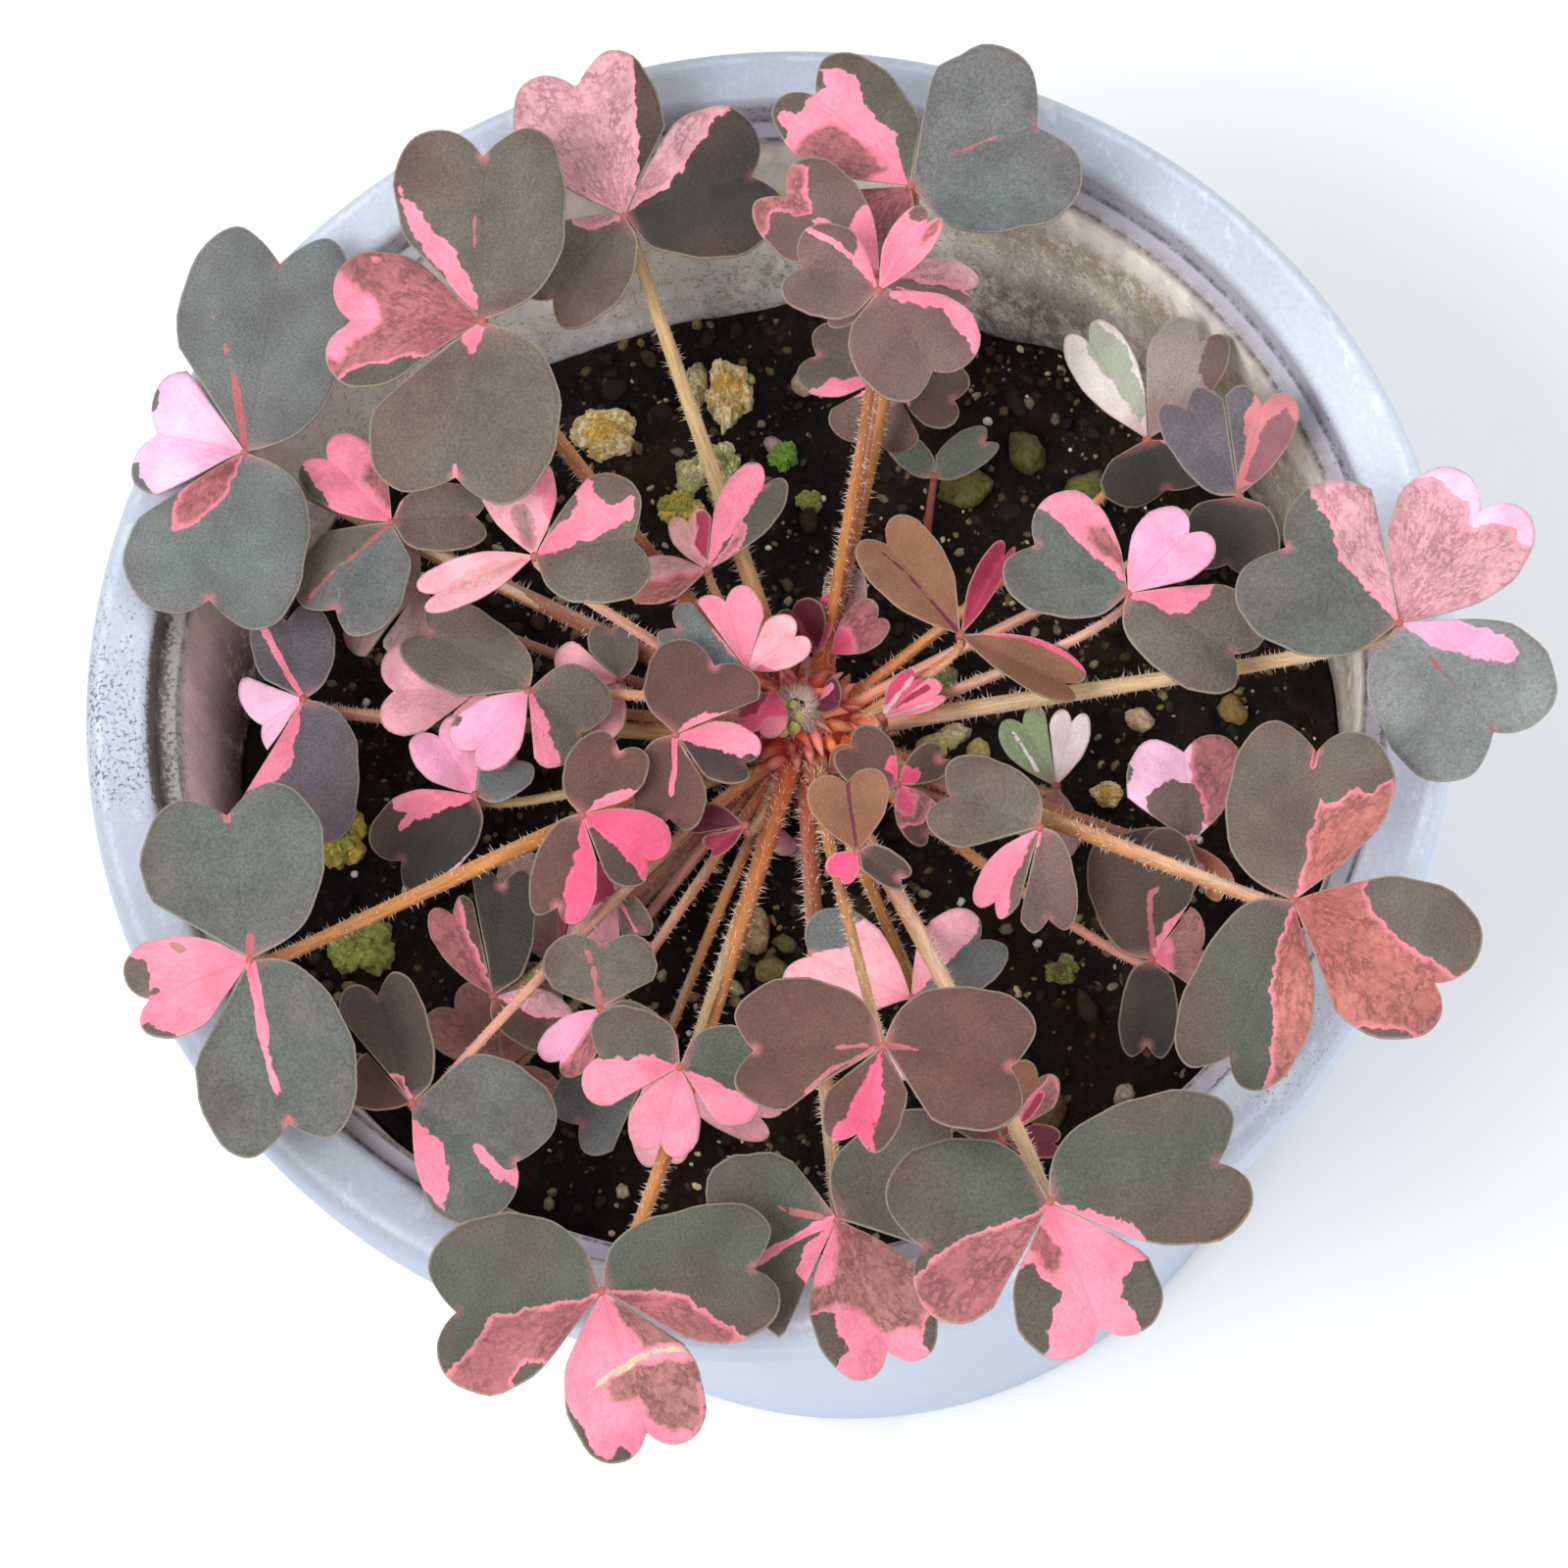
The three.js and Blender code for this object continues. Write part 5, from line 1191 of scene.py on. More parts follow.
def stalk_path(index, leaf, steps):
    """Points along a stalk from the crown to the hub of its leaf."""
    _, _, x, y, z, _, lift = leaf
    draws = stalk_draws(index)
    flat = np.array([x - CROWN[0], y - CROWN[1], 0])
    reach = np.linalg.norm(flat)
    out = flat / reach
    side = np.array([-out[1], out[0], 0])
    start = CROWN + out * (2.6 + 0.8 * next(draws)) + (0, 0, 2 + 4.5 * next(draws))
    tip = np.array([x, y, z - HUB_DROP])
    end = tip - (0, 0, 0.8)
    rise = end[2] - start[2]
    sway = side * 0.05 * reach * (next(draws) - 0.5)
    one = start + 0.3 * flat + sway
    one[2] = start[2] + 0.34 * rise + lift
    two = end - 0.1 * flat + sway
    two[2] = end[2] - 0.2 * rise - 2.2 + lift / 2
    t = np.linspace(0, 1, steps)[:, None]
    bend = (1 - t) ** 3 * start + 3 * t * (1 - t) ** 2 * one + 3 * t ** 2 * (1 - t) * two + t ** 3 * end
    return np.vstack([bend, tip, tip + (0, 0, HUB_DROP - 0.2)])


# stalks whose tone stands out, from crown to hub: 0 copper, 1 straw, 2 rosewood, 3 pink
STALK_TONES = {
    "leaf_03": (1, 1), "leaf_11": (1, 1), "leaf_12": (1, 3), "leaf_23": (1, 1), "leaf_33": (1, 1),
    "leaf_13": (0, 0), "leaf_21": (0, 0), "leaf_19": (0, 1), "leaf_24": (0, 3), "leaf_20": (0, 0),
}


class SHAMROCK_OT_stalks(bpy.types.Operator):
    """Bends the hairy leaf stalks up from the crown"""
    bl_idname = "shamrock.stalks"
    bl_label = "Leaf stalks"

    def execute(self, context):
        plant = in_mm(context.scene.shamrock_plant)
        draws = np.random.default_rng(STALK_SEED)
        rods, fuzz = Batch(), Batch()
        choices = [plant.copper_stalk, plant.straw_stalk, plant.rosewood_stalk, plant.pink_stalk]
        for index, leaf in enumerate(LEAVES):
            if leaf[0] == "seedling":
                continue
            large = max(shape[1] for shape in leaf[5]) > LARGE_LEAF
            size = plant.stalk if large else plant.thin_stalk
            path = stalk_path(index, leaf, STALK_STEPS)
            run = np.linspace(0, 1, len(path))
            radii = size * (1 - 0.42 * run) * (1 + 0.2 * np.clip(0.1 - run, 0, 1) / 0.1)
            pair = draws.choice(4, 2, p=[0.45, 0.2, 0.15, 0.2])
            near, far = (np.array(choices[k]) for k in STALK_TONES.get(leaf[0], pair))
            fade = np.clip(run[:, None] * 2 - 0.5 + draws.normal() * 0.2, 0, 1)
            tints = (1 - fade) * near + fade * far
            red = np.clip(1.0 - run * 3.6, 0, 0.9)[:, None]
            tints = (1 - red) * tints + red * np.array(plant.foot)
            tints = tints * draws.uniform(0.85, 1.12)
            # three shallow ribs run along it
            sides = STALK_SIDES
            around = np.linspace(0, FULL_TURN, sides, endpoint=False)
            points, faces = tube(path, radii, sides)
            rib = np.tile(0.06 * np.cos(3 * around + draws.uniform(0, ANY_TURN)), len(path))[:, None]
            points = points + (points - np.repeat(path, sides, axis=0)) * rib
            travel = np.concatenate([[0], np.cumsum(np.linalg.norm(np.diff(path, axis=0), axis=1))])
            grainwise = np.stack([np.tile(around * 1.6, len(path)), np.repeat(travel, sides) * 0.16,
                                  np.full(len(points), index * 7.3)], 1)
            # one side of the stalk is painted paler towards the hairs' colour, more in places along it: a
            # painted highlight
            highlight_facing = np.tile(np.cos(around - draws.uniform(0, ANY_TURN)), len(path))
            painted_highlight_share = 0.5 + 0.5 * np.sin(run * draws.uniform(5, 11) + draws.uniform(0, ANY_TURN))
            painted_highlight = (np.clip(highlight_facing * 0.9, 0, 1) * (0.12 + 0.4 * np.repeat(painted_highlight_share, sides)))[:, None]
            rows = (1 - painted_highlight) * np.repeat(tints, sides, axis=0) + painted_highlight * np.array(plant.hair_colour)
            rods.add(points, faces, tint=tinted_rows(rows), rib=grainwise)
            fuzz.add(*self.hairs_on(plant, path, radii, travel[-1], large, draws),
                     tint=(*plant.hair_colour, 1))
        # living leaf stalk: a thin waxy skin over copper-coloured flesh
        skin = tinted("living_leaf_stalk", 0.5, 0.45, 0.35, 0.3, 0.1, along=True)
        rods.piece("leaf_stalks", skin, "stalk_copper", ["rosette"])
        # plant hair: clear, so it takes a pale glint
        fuzz.piece("stalk_hairs", tinted("plant_hair", 0.4, 0.35, 0.0, 0.1), "stalk_copper")
        return {"FINISHED"}

    @staticmethod
    def hairs_on(plant, path, radii, long, large, draws):
        """Hairs that stand off a stalk, shorter and fewer towards its leaf."""
        run = np.linspace(0, 1, len(path))
        count = int(long * plant.hairs * (1 if large else 0.7))
        at = draws.random(count) ** 1.2 * 0.97
        spot = np.stack([np.interp(at, run, path[:, k]) for k in range(3)], 1)
        ahead, u, v = frames_along(path)
        near = np.minimum((at * (len(path) - 1)).astype(int), len(path) - 1)
        t = draws.uniform(0, ANY_TURN, count)[:, None]
        radial = u[near] * np.cos(t) + v[near] * np.sin(t)
        lean = radial + ahead[near] * draws.normal(0.1, 0.3, (count, 1))
        lean = lean + draws.normal(0, 0.15, (count, 3))
        lean /= np.linalg.norm(lean, axis=1)[:, None]
        reach = plant.hair * draws.uniform(0.35, 1.1, count) * (1.2 - 0.7 * at) * (1 if large else 0.8)
        roots = spot + radial * np.interp(at, run, radii)[:, None] * 0.9
        return hairs(roots, lean, reach, STALK_HAIR, draws)


# the crown's outline: radius and height over its middle
CROWN_LINE = [(0, -9), (3, -8.4), (4.7, -6), (5.1, -3), (5.0, 3), (4.4, 6.5), (3, 9), (1.4, 10.4), (0, 10.8)]

# young leaflets on the crown: foot, tip, height, width, fold, marks
YOUNG = [
    ((3.3, 6.7), (0.9, 11.0), 86, 4.6, 50, ("wine", ("crimson", 12, [(0, 5), (10, 80)]))),
    ((3.8, 6.7), (4.8, 11.9), 86, 1.6, 20, ("hot",)),
    ((4.7, 6.6), (10.1, 9.6), 86, 4.4, 10,
     ("rose", ("hot", 0, [(0, 0), (60, 0), (50, 40), (-50, 40), (-60, 0)]))),
    ((5.5, 7.7), (6.3, 15.0), 84, 4.0, 30, ("fawn", ("mauve", 0, [(0, 0), (100, 20), (100, 100), (0, 100)]))),
    ((-0.2, 2.9), (-1.8, -2.6), 87, 4.4, 8,
     ("hot", ("crimson", 0, [(-100, 0), (-24, 8), (-34, 60), (-112, 84)]),
      ("pink", 0, [(-6, 66), (100, 46), (100, 110), (-6, 110)]))),
    ((3.6, 2.6), (5.8, 1.8), 85, 3.6, 45, ("wine", ("pink", 14, [(20, 5), (60, 60)]))),
    ((4.2, -3.5), (7.0, -2.0), 83, 2.6, 40, ("copper",)),
    ((-0.6, -6.9), (-1.3, -9.8), 78, 4.0, 5, ("petal",)),
    ((0.9, -7.2), (1.6, -9.6), 77, 3.4, 5, ("pale",)),
]


class SHAMROCK_OT_crown(bpy.types.Operator):
    """Builds the scaly, fluffy crown that the stalks grow from"""
    bl_idname = "shamrock.crown"
    bl_label = "Crown"

    def execute(self, context):
        plant = in_mm(context.scene.shamrock_plant)
        draws = np.random.default_rng(CROWN_SEED)
        # fleshy bulb scale: thin skinned, coral to straw
        fleshy = tinted("fleshy_bulb_scale", 0.6, 0.5, 0.4, 0.25, 0.15)
        self.scales(plant, draws).piece("crown_scales", fleshy, "stalk_copper")
        # plant hair: clear, so the fluff looks white to pale pink
        clear = tinted("crown_hair", 0.4, 0.4, 0.0, 0.12, 0.6)
        self.fluff(plant, draws).piece("crown_fluff", clear, "stalk_copper")
        blade = leaf_blade(in_mm(context.scene.shamrock_tones))
        self.young_leaves(plant).piece("crown_young_leaves", blade, "leaf_crimson")
        return {"FINISHED"}

    @staticmethod
    def scales(plant, draws):
        """The fleshy middle, its scales and the sprout on top."""
        body = Batch()
        line = smooth_line(CROWN_LINE, 24)
        turn = np.linspace(0, FULL_TURN, CROWN_SIDES, endpoint=False)
        points = np.array([(r * math.cos(t), r * math.sin(t), z) for r, z in line[1:-1] for t in turn])
        points = points * np.array([[1 + 0.12 * noise.noise(Vector(p) * 0.7)] for p in points]) + CROWN
        # the fleshy middle shows between the scales in a darker coral, a painted shade in the gaps
        body.add(points, rod_faces(len(line) - 2, CROWN_SIDES), tint=(*np.array(plant.coral_scale) * 0.55, 1))
        shades = [plant.coral_scale, plant.orange_scale, plant.pink_scale, plant.coral_scale]
        for i in range(SCALES):
            # scales and stubs of old stalks overlap in a spiral, up to the tip
            t = SPIRAL * i
            high = i / SCALES
            out = np.array([math.cos(t), math.sin(t), 0])
            level = 1.0 + 9.2 * high
            root = CROWN + out * (np.interp(level, line[:, 1], line[:, 0]) - 0.5) + (0, 0, level)
            side = np.array([-out[1], out[0], 0]) * draws.uniform(-1.1, 1.1)
            reach = draws.uniform(2.2, 4.2) * (1 - 0.45 * high)
            tip = root + out * reach + side + (0, 0, reach * draws.uniform(-0.1, 0.35))
            middle = (root + tip) / 2 + (0, 0, 0.6)
            path = smooth_line([root - out, root, middle, tip], SCALE_STEPS)
            wide = draws.uniform(0.45, 0.95) * (1 - 0.3 * high)
            radii = wide * np.sin(np.linspace(0.9, 3.08, SCALE_STEPS + 1)) ** 0.8
            tip_share = np.repeat(np.linspace(0, 1, SCALE_STEPS + 1) ** 2, SCALE_SIDES)[:, None]
            shade = np.array(shades[i % 4]) * draws.uniform(0.6, 1.3)
            tint = (1 - tip_share) * shade + tip_share * (0.75 * shade + 0.25 * np.array(plant.fluff))
            body.add(*tube(path, radii, SCALE_SIDES), tint=tinted_rows(tint))
        for i in range(SPROUT_LEAVES):
            t = 0.9 * i
            out = np.array([math.cos(t), math.sin(t), 0])
            root = CROWN + SPROUT + out * 0.7
            tip = root + out * 0.3 + (0, 0, 1.7 + 0.4 * (i % 2))
            path = smooth_line([root, root + out * 0.6 + (0, 0, 0.9), tip], 6)
            body.add(*tube(path, 0.62 * np.sin(np.linspace(0.9, 3.0, 7)) ** 0.7, 8), tint=(*plant.sprout, 1))
        return body

    @staticmethod
    def fluff(plant, draws):
        """Short hairs that stand off the scales, thickest at the top."""
        count = FLUFF_HAIRS
        high, t = draws.random(count) ** 0.42, draws.uniform(0, ANY_TURN, count)
        out = np.stack([np.cos(t), np.sin(t), np.zeros(count)], 1)
        rise = np.stack([np.zeros(count), np.zeros(count), 2.0 + 9.6 * high], 1)
        roots = CROWN + out * np.clip(5.4 - 4.6 * high ** 1.5, 0.2, 5.4)[:, None] + rise
        lean = out * (1.1 - 0.5 * high[:, None]) + (0, 0, 0.15) + draws.normal(0, 0.6, (count, 3))
        lean /= np.linalg.norm(lean, axis=1)[:, None]
        reach = draws.uniform(0.45, 1.3, count) * (0.5 + 0.9 * high ** 6)
        fluff = Batch()
        fluff.add(*hairs(roots, lean, reach, FLUFF_HAIR, draws), tint=(*plant.fluff, 1))
        return fluff

    @staticmethod
    def young_leaves(plant):
        """Folded young leaflets that stand between the stalks."""
        young = Batch()
        for i, (base, tip, z, width, fold, marking) in enumerate(YOUNG):
            base, flat = np.array([*base, z]), np.subtract(tip, base)
            shape = (math.degrees(math.atan2(flat[1], flat[0])), np.linalg.norm(flat), width, 25, fold)
            points, faces, values = leaflet("young leaf", base, shape, (360, 360), marking,
                                            YOUNG_SEED + i, plant)
            young.add(points, faces, **values)
        return young


# ---- leaves -------------------------------------------------------------------------------------
FINE_LEAFLET = 9.5      # a leaflet longer than this gets the finer net
OUTSIDE, INSIDE = -9.0, 9.0     # far outside and far inside of a mark, mm
COOL = {"slate", "ash", "fog", "plum", "moss"}      # these hardly turn brown
UNDERSIDE_SHARE = 0.62  # how much of the underside's own colour shows there
WIDEST_TURN = 78        # degrees from its midrib that a leaflet may spread at its base
HUB_SIZE = (0.48, 0.48, 0.45)
SEEDLING_RADII = np.linspace(0.45, 0.35, 11)


def inside_distance(points, corners, half_width):
    """How far each point lies inside a patch, or inside a streak of the given half width."""
    corners = np.asarray(corners, float)
    closed = half_width == 0
    ends = np.roll(corners, -1, axis=0) if closed else corners[1:]
    starts = corners if closed else corners[:-1]
    nearest = np.full(len(points), 1e9)
    crossings = np.zeros(len(points), bool)
    for a, b in zip(starts, ends):
        span = b - a
        along = np.clip(((points - a) @ span) / max(span @ span, 1e-9), 0, 1)
        nearest = np.minimum(nearest, np.linalg.norm(points - a - along[:, None] * span, axis=1))
        if closed and a[1] != b[1]:
            over = (a[1] > points[:, 1]) != (b[1] > points[:, 1])
            crossings ^= over & (points[:, 0] < a[0] + span[0] * (points[:, 1] - a[1]) / span[1])
    return np.where(crossings, nearest, -nearest) if closed else half_width - nearest


def marks_of(marking, half, length_mm):
    """The marks of a leaflet in millimetres, as (tone, half width, corners)."""
    scale = np.array([half, length_mm]) / 100
    return [(tone, width * half / 100, np.array(corners) * scale) for tone, width, corners in marking[1:]]


def tone_at(marking, marks, point):
    """The tone of a leaflet at one point."""
    tone = marking[0]
    for name, width, corners in marks:
        if inside_distance(np.array([point]), corners, width)[0] > 0:
            tone = name
    return tone


def both_edges(marking, marks, half, long, rows, gaps, draws):
    """The left and right edge of a leaflet, from its base to its notch."""
    sides = []
    for sign, gap in zip((1, -1), gaps):
        base_tone = tone_at(marking, marks, (sign * half * 0.5, long * 0.3))
        edge = smooth_line(ROUND_HALF if base_tone in GREENISH else WEDGE_HALF, rows)
        swing = (1 + 0.025 * np.sin(edge[:, 1] * 7 + draws.uniform(0, 6)) + draws.uniform(-0.03, 0.03)
                 + 0.012 * np.sin(edge[:, 1] * 23 + draws.uniform(0, 6)))
        # it stays clear of the leaflet beside it
        limit = math.tan(math.radians(min(gap / 2 - 1, WIDEST_TURN))) * long
        across = np.minimum(edge[:, 0] * half * swing, edge[:, 1] * limit)
        sides.append(np.stack([sign * across, edge[:, 1] * long], 1))
    return sides


def blade_faces(rows, columns, count):
    """Faces of a blade that has a skin of count points above and below, joined round the rim."""
    wide, last, faces = 2 * columns + 1, count - 1, []
    for level, flip in ((0, False), (count, True)):
        def face(*corners):
            faces.append(tuple(level + c for c in (corners[::-1] if flip else corners)))
        for k in range(wide - 1):
            face(0, 1 + k + 1, 1 + k)
            face(last, 1 + (rows - 2) * wide + k, 1 + (rows - 2) * wide + k + 1)
            for i in range(rows - 2):
                corner = 1 + i * wide + k
                face(corner, corner + 1, corner + wide + 1, corner + wide)
    rim = [0] + [1 + i * wide for i in range(rows - 1)] + [last] + [i * wide for i in range(rows - 1, 0, -1)]
    return faces + [(i, j, j + count, i + count) for i, j in zip(rim, rim[1:] + rim[:1])]


def layers_of(leaf_name, ground, marks, flat):
    """The ground and three layers of marks, each as [tone, how far inside it each point lies, its net]."""
    layers = []
    for tone, half_width, corners in marks:
        # a streak's edge is steeper, so it stays smooth
        field = (inside_distance(flat, corners, half_width + STREAK_EXTRA) * 3 if half_width
                 else inside_distance(flat, corners, 0))
        if layers and layers[-1][0] == tone:
            layers[-1][1] = np.maximum(layers[-1][1], field)
        else:
            # streaks are clean, only patches have a lip and a net
            layers.append([tone, field, 0 if half_width else NET.get(tone, 0)])
    missing = len(MARK_LAYERS) - len(layers)
    if missing < 0:
        raise ValueError(f"{leaf_name} has a leaflet with more than three layers of marks")
    net = NET.get(ground, 0)
    return ([[ground, np.full(len(flat), INSIDE), net], *layers]
            + [[ground, np.full(len(flat), OUTSIDE), net]] * missing)


def painted(layers, flat, share, long, seed, draws):
    """The colour and net of each layer, and where it lies, for the leaflet's points."""
    a, b = np.abs(flat[:, 0]), flat[:, 1]
    patchy = np.array([noise.noise(Vector((x * 0.16, y * 0.16, seed * 2.3 + 40))) for x, y in flat])
    near_hub = np.clip(1 - b / 1.1, 0, 1)
    near_notch = np.clip(1 - np.hypot(a, b - NOTCH * long) / 0.8, 0, 1) * draws.choice((0.2, 0.5, 0.9))
    to_edge = np.clip(share * 1.4 - 0.4, 0, 1) * np.clip(b / long * 1.5, 0, 1)
    values = {}
    for key, (tone, field, net) in zip(("ground", *MARK_LAYERS), layers):
        skin = np.tile(plant_tone(tone), (len(flat), 1))
        if tone in GREENISH:
            # greens turn browner to the margin, and pink at the hub and at the notch
            browner = np.clip(0.3 * to_edge + 0.5 * patchy, 0, 0.5)[:, None] * (0.4 if tone in COOL else 1)
            skin = (1 - browner) * skin + browner * np.array(plant_tone("bronze"))
            greener = np.clip(0.25 - 0.3 * to_edge - 1.1 * patchy, 0, 0.5)[:, None]
            skin = 1.1 * ((1 - greener) * skin + greener * skin * (0.86, 1.0, 0.93))
            pinker = np.maximum(0.5 * near_hub, near_notch)[:, None]
            skin = (1 - pinker) * skin + pinker * np.array(plant_tone("base"))
        else:
            # the other tones are deeper at the base
            deeper = np.clip(0.55 - b / long * 1.3 + 0.4 * patchy, 0, 0.45)[:, None]
            skin = skin * (1 - deeper * (0.1, 0.5, 0.4))
        if key != "ground":
            values[key + "_in"] = field[:, None]
        values[key] = tinted_rows(skin)
        values[key + "_net"] = np.full((len(flat), 1), float(net))
    return values


def leaflet(leaf_name, hub, shape, gaps, marking, seed, plant):
    """One leaflet: points, faces and the values that its skin is painted from."""
    heading, long, width, rise, fold = shape
    half = width / 2
    turn, pitch, lift = math.radians(heading), math.radians(rise), math.tan(math.radians(fold))
    along = np.array([math.cos(turn) * math.cos(pitch), math.sin(turn) * math.cos(pitch), math.sin(pitch)])
    left = np.array([-math.sin(turn), math.cos(turn), 0])
    up = np.cross(along, left)
    rows, columns = (32, 12) if long > FINE_LEAFLET else (22, 8)
    marks = marks_of(marking, half, long)
    draws = np.random.default_rng(seed)
    sides = both_edges(marking, marks, half, long, rows, gaps, draws)
    middle = np.stack([np.zeros(rows + 1), np.linspace(0, NOTCH * long, rows + 1)], 1)
    steps = np.arange(columns, -columns - 1, -1) / columns
    edges = [sides[0 if s > 0 else 1] for s in steps]
    grid = np.stack([(1 - abs(s)) * middle + abs(s) * edge for s, edge in zip(steps, edges)], 1)
    reach = np.stack([np.linalg.norm(middle - edge, axis=1) for edge in edges], 1)[1:-1].ravel()
    flat = np.vstack([[(0, 0)], grid[1:-1].reshape(-1, 2), [(0, NOTCH * long)]])
    share = np.tile(np.abs(steps), rows - 1)
    margin = np.concatenate([[1], (1 - share) * reach, [0]])
    share = np.concatenate([[0], share, [1]])
    a, b = np.abs(flat[:, 0]), flat[:, 1]
    phase = np.where(flat[:, 0] > 0, *draws.uniform(0, ANY_TURN, 2))
    wave = plant.wave * half * share ** 2 * np.sin(FULL_TURN * 1.4 * b / long + phase)
    crease = np.sqrt(a * a + 0.16) - 0.4
    dents = np.array([noise.noise(Vector((x * 0.22, y * 0.22, seed * 1.7))) for x, y in flat])
    height = (crease * lift - ARCH * b * b / long + plant.cup * a * np.clip(1 - a / half, 0, 1) + wave
              + 2 * plant.ripple * dents * np.clip(a + 0.1 * b, 0, 1))
    middle_line = hub + np.outer(b, along) + np.outer(flat[:, 0], left) + np.outer(height, up)
    thick = plant.blade * (1 - 0.35 * share)[:, None] / 2
    points = np.vstack([middle_line + up * thick, middle_line - up * thick])
    count = len(flat)
    values = {"rib": np.hstack([flat, np.full((count, 1), seed * 3.7)]), "margin": margin[:, None],
              **painted(layers_of(leaf_name, marking[0], marks, flat), flat, share, long, seed, draws)}
    doubled = {key: np.vstack([value, value]) for key, value in values.items()}
    doubled["below"] = np.repeat([[0.0], [UNDERSIDE_SHARE]], count, axis=0)
    return points, blade_faces(rows, columns, count), doubled


def plant_tone(name):
    """The tone's colour as it is set now."""
    return tuple(getattr(bpy.context.scene.shamrock_tones, name))


class SHAMROCK_OT_leaves(bpy.types.Operator):
    """Grows each leaf with its marked leaflets"""
    bl_idname = "shamrock.leaves"
    bl_label = "Leaves"

    def execute(self, context):
        plant, tones = in_mm(context.scene.shamrock_plant), in_mm(context.scene.shamrock_tones)
        blade = leaf_blade(tones)
        for index, (name, slot, x, y, z, shapes, _) in enumerate(LEAVES):
            hub = np.array([x, y, z], float)
            order = sorted(range(len(shapes)), key=lambda k: shapes[k][0])
            batch = Batch()
            for place, k in enumerate(order):
                here, after = shapes[k][0], shapes[order[(place + 1) % len(order)]][0]
                before = shapes[order[place - 1]][0]
                # degrees to its neighbours on either side
                gaps = ((after - here) % 360 or 360, (here - before) % 360 or 360)
                points, faces, values = leaflet(name, hub, shapes[k], gaps, MARKINGS[name][k],
                                                10 * index + k + 1, plant)
                batch.add(points, faces, **values)
            bead = {"rib": (0, 5, 0), "margin": INSIDE, "below": 0, "ground": (*plant.bead, 1),
                    "ground_net": 0}
            for key in MARK_LAYERS:
                bead.update({key + "_in": OUTSIDE, key: (0, 0, 0, 1), key + "_net": 0})
            batch.add(*ball(hub + (0, 0, -0.1), HUB_SIZE), **bead)
            if name == "seedling":
                foot = np.array([x - 1, y - 3.5, 0])
                foot[2] = surface_height(in_mm(context.scene.shamrock_mix), foot[0], foot[1]) - 4
                path = smooth_line([foot, foot + (0, 0, 6), hub - (0, 0, 0.2)], len(SEEDLING_RADII) - 1)
                batch.add(*tube(path, SEEDLING_RADII, 8), **bead)
            batch.piece(name + "_blades", blade, slot, [name])
        return {"FINISHED"}


# ---- stage --------------------------------------------------------------------------------------
# Metres from here on.
FLOOR_HALF = 3
AIM = Vector((0, 0, 0.08))      # where the lamps point
# lamps: name, place, size, share of the key light's power
LAMPS = [("key", (-0.32, -0.36, 0.98), 0.4, 1), ("side", (0.6, 0.55, 0.9), 0.8, 0.3)]
SKY_COLOUR = (0.96, 0.98, 1, 1)
CAMERA_PLACE = (0.05378, -0.20708, 0.66056)
CAMERA_AHEAD = Vector((-0.08724943, 0.32978846, -0.94001442))
CAMERA_RIGHT = Vector((0.99542959, 0, -0.09549829))
LENS, SENSOR = 158.76, 36       # millimetres


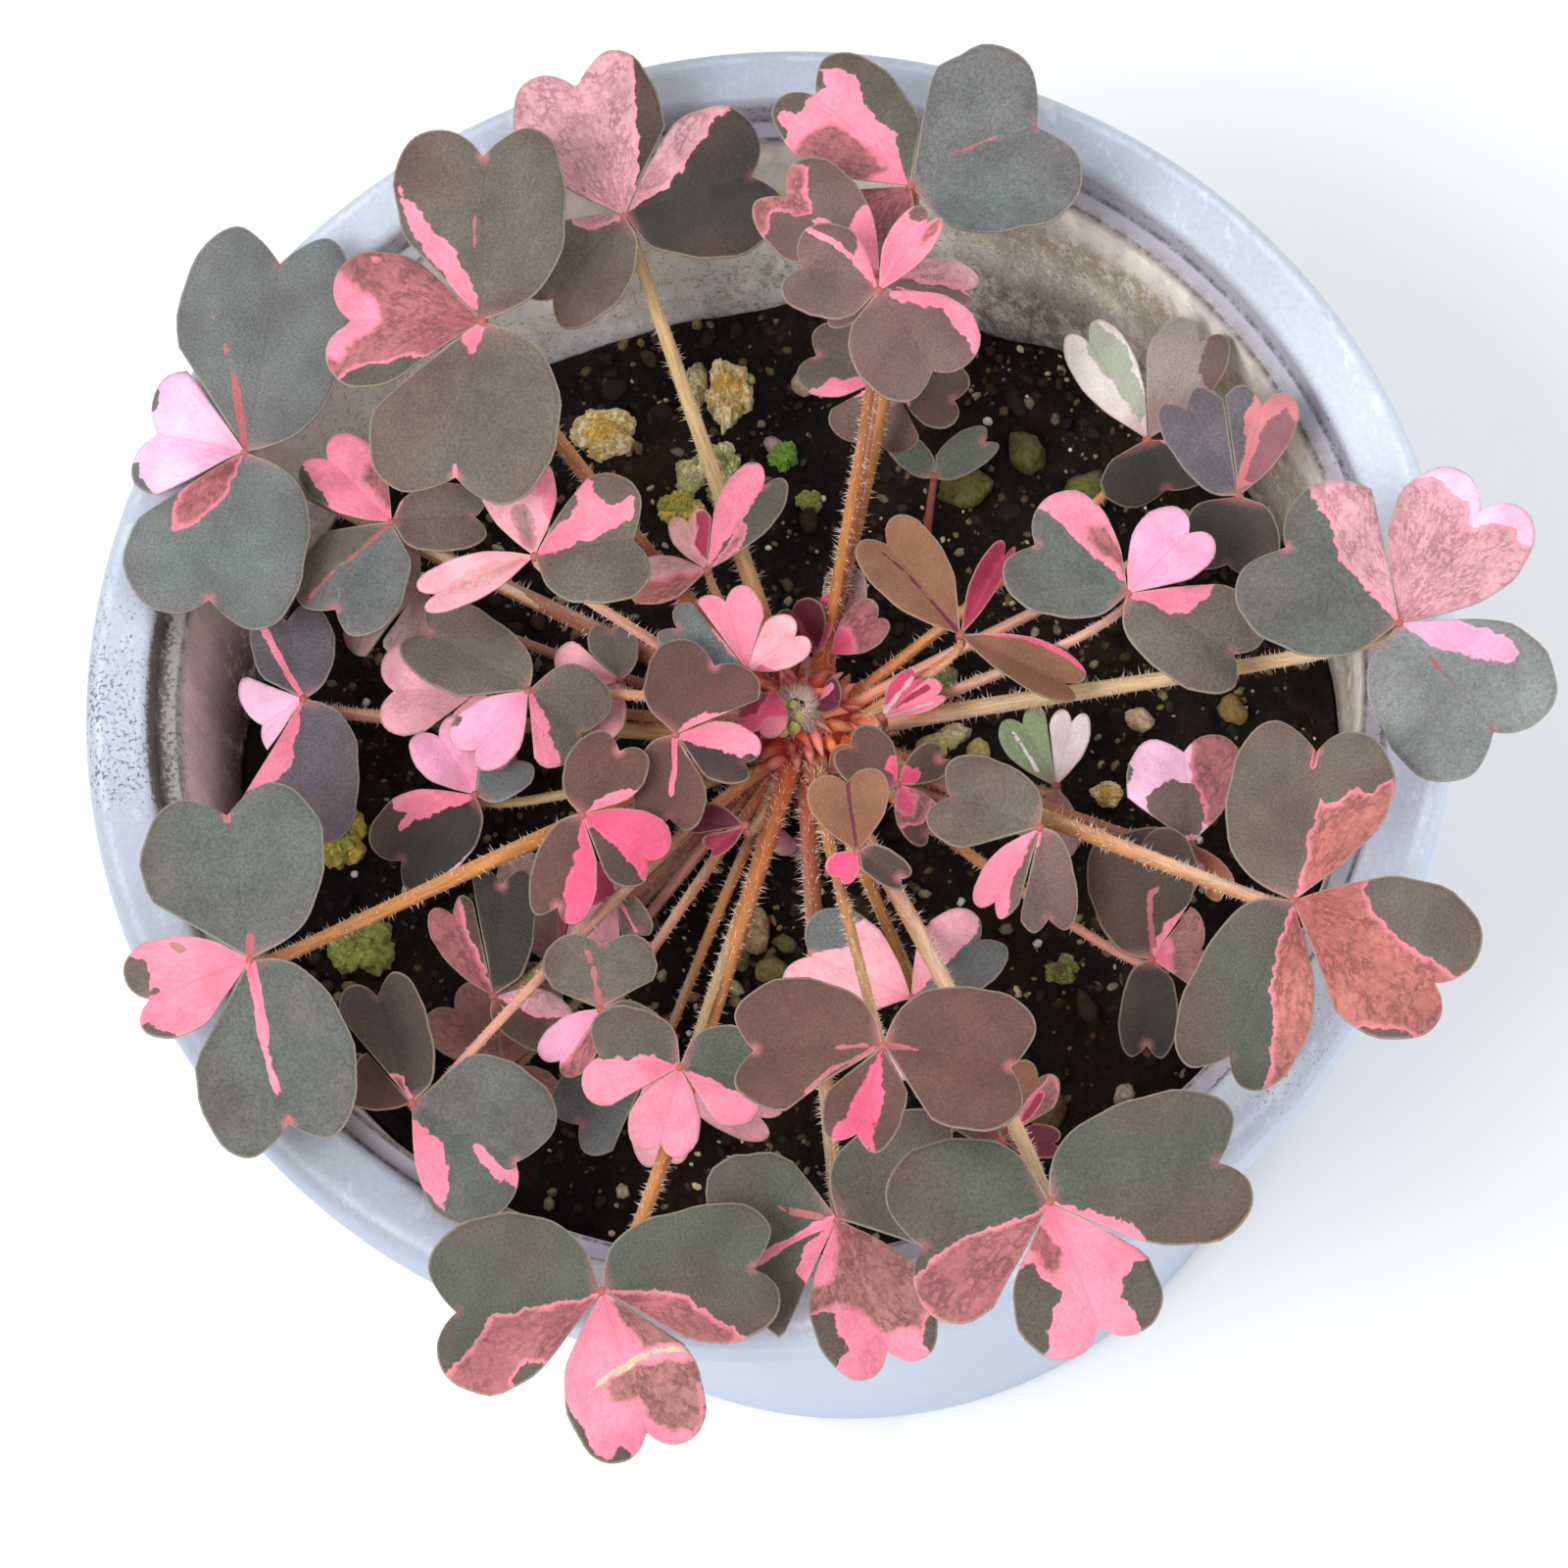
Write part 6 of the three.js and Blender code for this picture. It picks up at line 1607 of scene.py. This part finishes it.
class SHAMROCK_OT_stage(bpy.types.Operator):
    """Lays the floor and sets the lights and the camera"""
    bl_idname = "shamrock.stage"
    bl_label = "Floor, lights and camera"

    def execute(self, context):
        stage, scene = context.scene.shamrock_stage, context.scene
        mesh = bpy.data.meshes.new("floor")
        corners = (-1, -1), (1, -1), (1, 1), (-1, 1)
        mesh.from_pydata([(x * FLOOR_HALF, y * FLOOR_HALF, 0) for x, y in corners], [], [(0, 1, 2, 3)])
        floor = bpy.data.objects.new("floor", mesh)
        scene.collection.objects.link(floor)
        # painted board: even, matt, with a barely visible mottle
        made, add = material("painted_board")
        mottle = add(NOISE, add("TexCoord", out="Object"), 60, 3)
        skin = add(SCALED, stage.floor, add(RAMP, mottle, 0, 1, 0.97))
        add("OutputMaterial", add("BsdfPrincipled", Base_Color=skin, Roughness=0.8))
        mesh.materials.append(made)

        world = bpy.data.worlds.new("studio")
        world.use_nodes = True
        sky = world.node_tree.nodes["Background"]
        sky.inputs["Color"].default_value = SKY_COLOUR
        sky.inputs["Strength"].default_value = stage.fill
        scene.world = world
        for label, place, size, share in LAMPS:
            lamp = bpy.data.lights.new(label, "AREA")
            lamp.energy, lamp.size = stage.key * share, size
            holder = bpy.data.objects.new(label, lamp)
            holder.location = place
            holder.rotation_euler = (AIM - Vector(place)).to_track_quat("-Z", "Y").to_euler()
            scene.collection.objects.link(holder)

        lens = bpy.data.cameras.new("camera")
        lens.sensor_width, lens.lens = SENSOR, LENS
        lens.clip_start, lens.clip_end = 0.05, 20
        camera = bpy.data.objects.new("camera", lens)
        right = (CAMERA_RIGHT - CAMERA_AHEAD * CAMERA_RIGHT.dot(CAMERA_AHEAD)).normalized()
        axes = Matrix((right, right.cross(CAMERA_AHEAD), -CAMERA_AHEAD)).transposed()
        camera.matrix_world = Matrix.Translation(CAMERA_PLACE) @ axes.to_4x4()
        scene.collection.objects.link(camera)
        scene.camera = camera
        scene.view_settings.view_transform = "Standard"
        return {"FINISHED"}


# ---- sidebar and start --------------------------------------------------------------------------
class SHAMROCK_PT_sidebar(bpy.types.Panel):
    """Lists the builders and their settings"""
    bl_idname = "SHAMROCK_PT_sidebar"
    bl_label = "Shamrock"
    bl_space_type = "VIEW_3D"
    bl_region_type = "UI"
    bl_category = "Shamrock"

    def draw(self, context):
        for builder in BUILDERS:
            self.layout.operator(builder.bl_idname)
        for name, group in SETTINGS.items():
            box = self.layout.box()
            for key in group.__annotations__:
                box.prop(getattr(context.scene, name), key)


SETTINGS = {
    "shamrock_pot": PotSettings,
    "shamrock_mix": MixSettings,
    "shamrock_plant": PlantSettings,
    "shamrock_tones": ToneSettings,
    "shamrock_stage": StageSettings,
}
BUILDERS = [SHAMROCK_OT_pot, SHAMROCK_OT_potting_mix, SHAMROCK_OT_stalks, SHAMROCK_OT_crown,
            SHAMROCK_OT_leaves, SHAMROCK_OT_stage]


def register():
    for name, group in SETTINGS.items():
        bpy.utils.register_class(group)
        setattr(bpy.types.Scene, name, bpy.props.PointerProperty(type=group))
    for kind in (*BUILDERS, SHAMROCK_PT_sidebar):
        bpy.utils.register_class(kind)


def unregister():
    for kind in (SHAMROCK_PT_sidebar, *reversed(BUILDERS)):
        bpy.utils.unregister_class(kind)
    for name, group in SETTINGS.items():
        delattr(bpy.types.Scene, name)
        bpy.utils.unregister_class(group)


def main():
    register()
    bpy.ops.shamrock.pot()
    bpy.ops.shamrock.potting_mix()
    bpy.ops.shamrock.stalks()
    bpy.ops.shamrock.crown()
    bpy.ops.shamrock.leaves()
    bpy.ops.shamrock.stage()


if __name__ == "__main__":
    main()
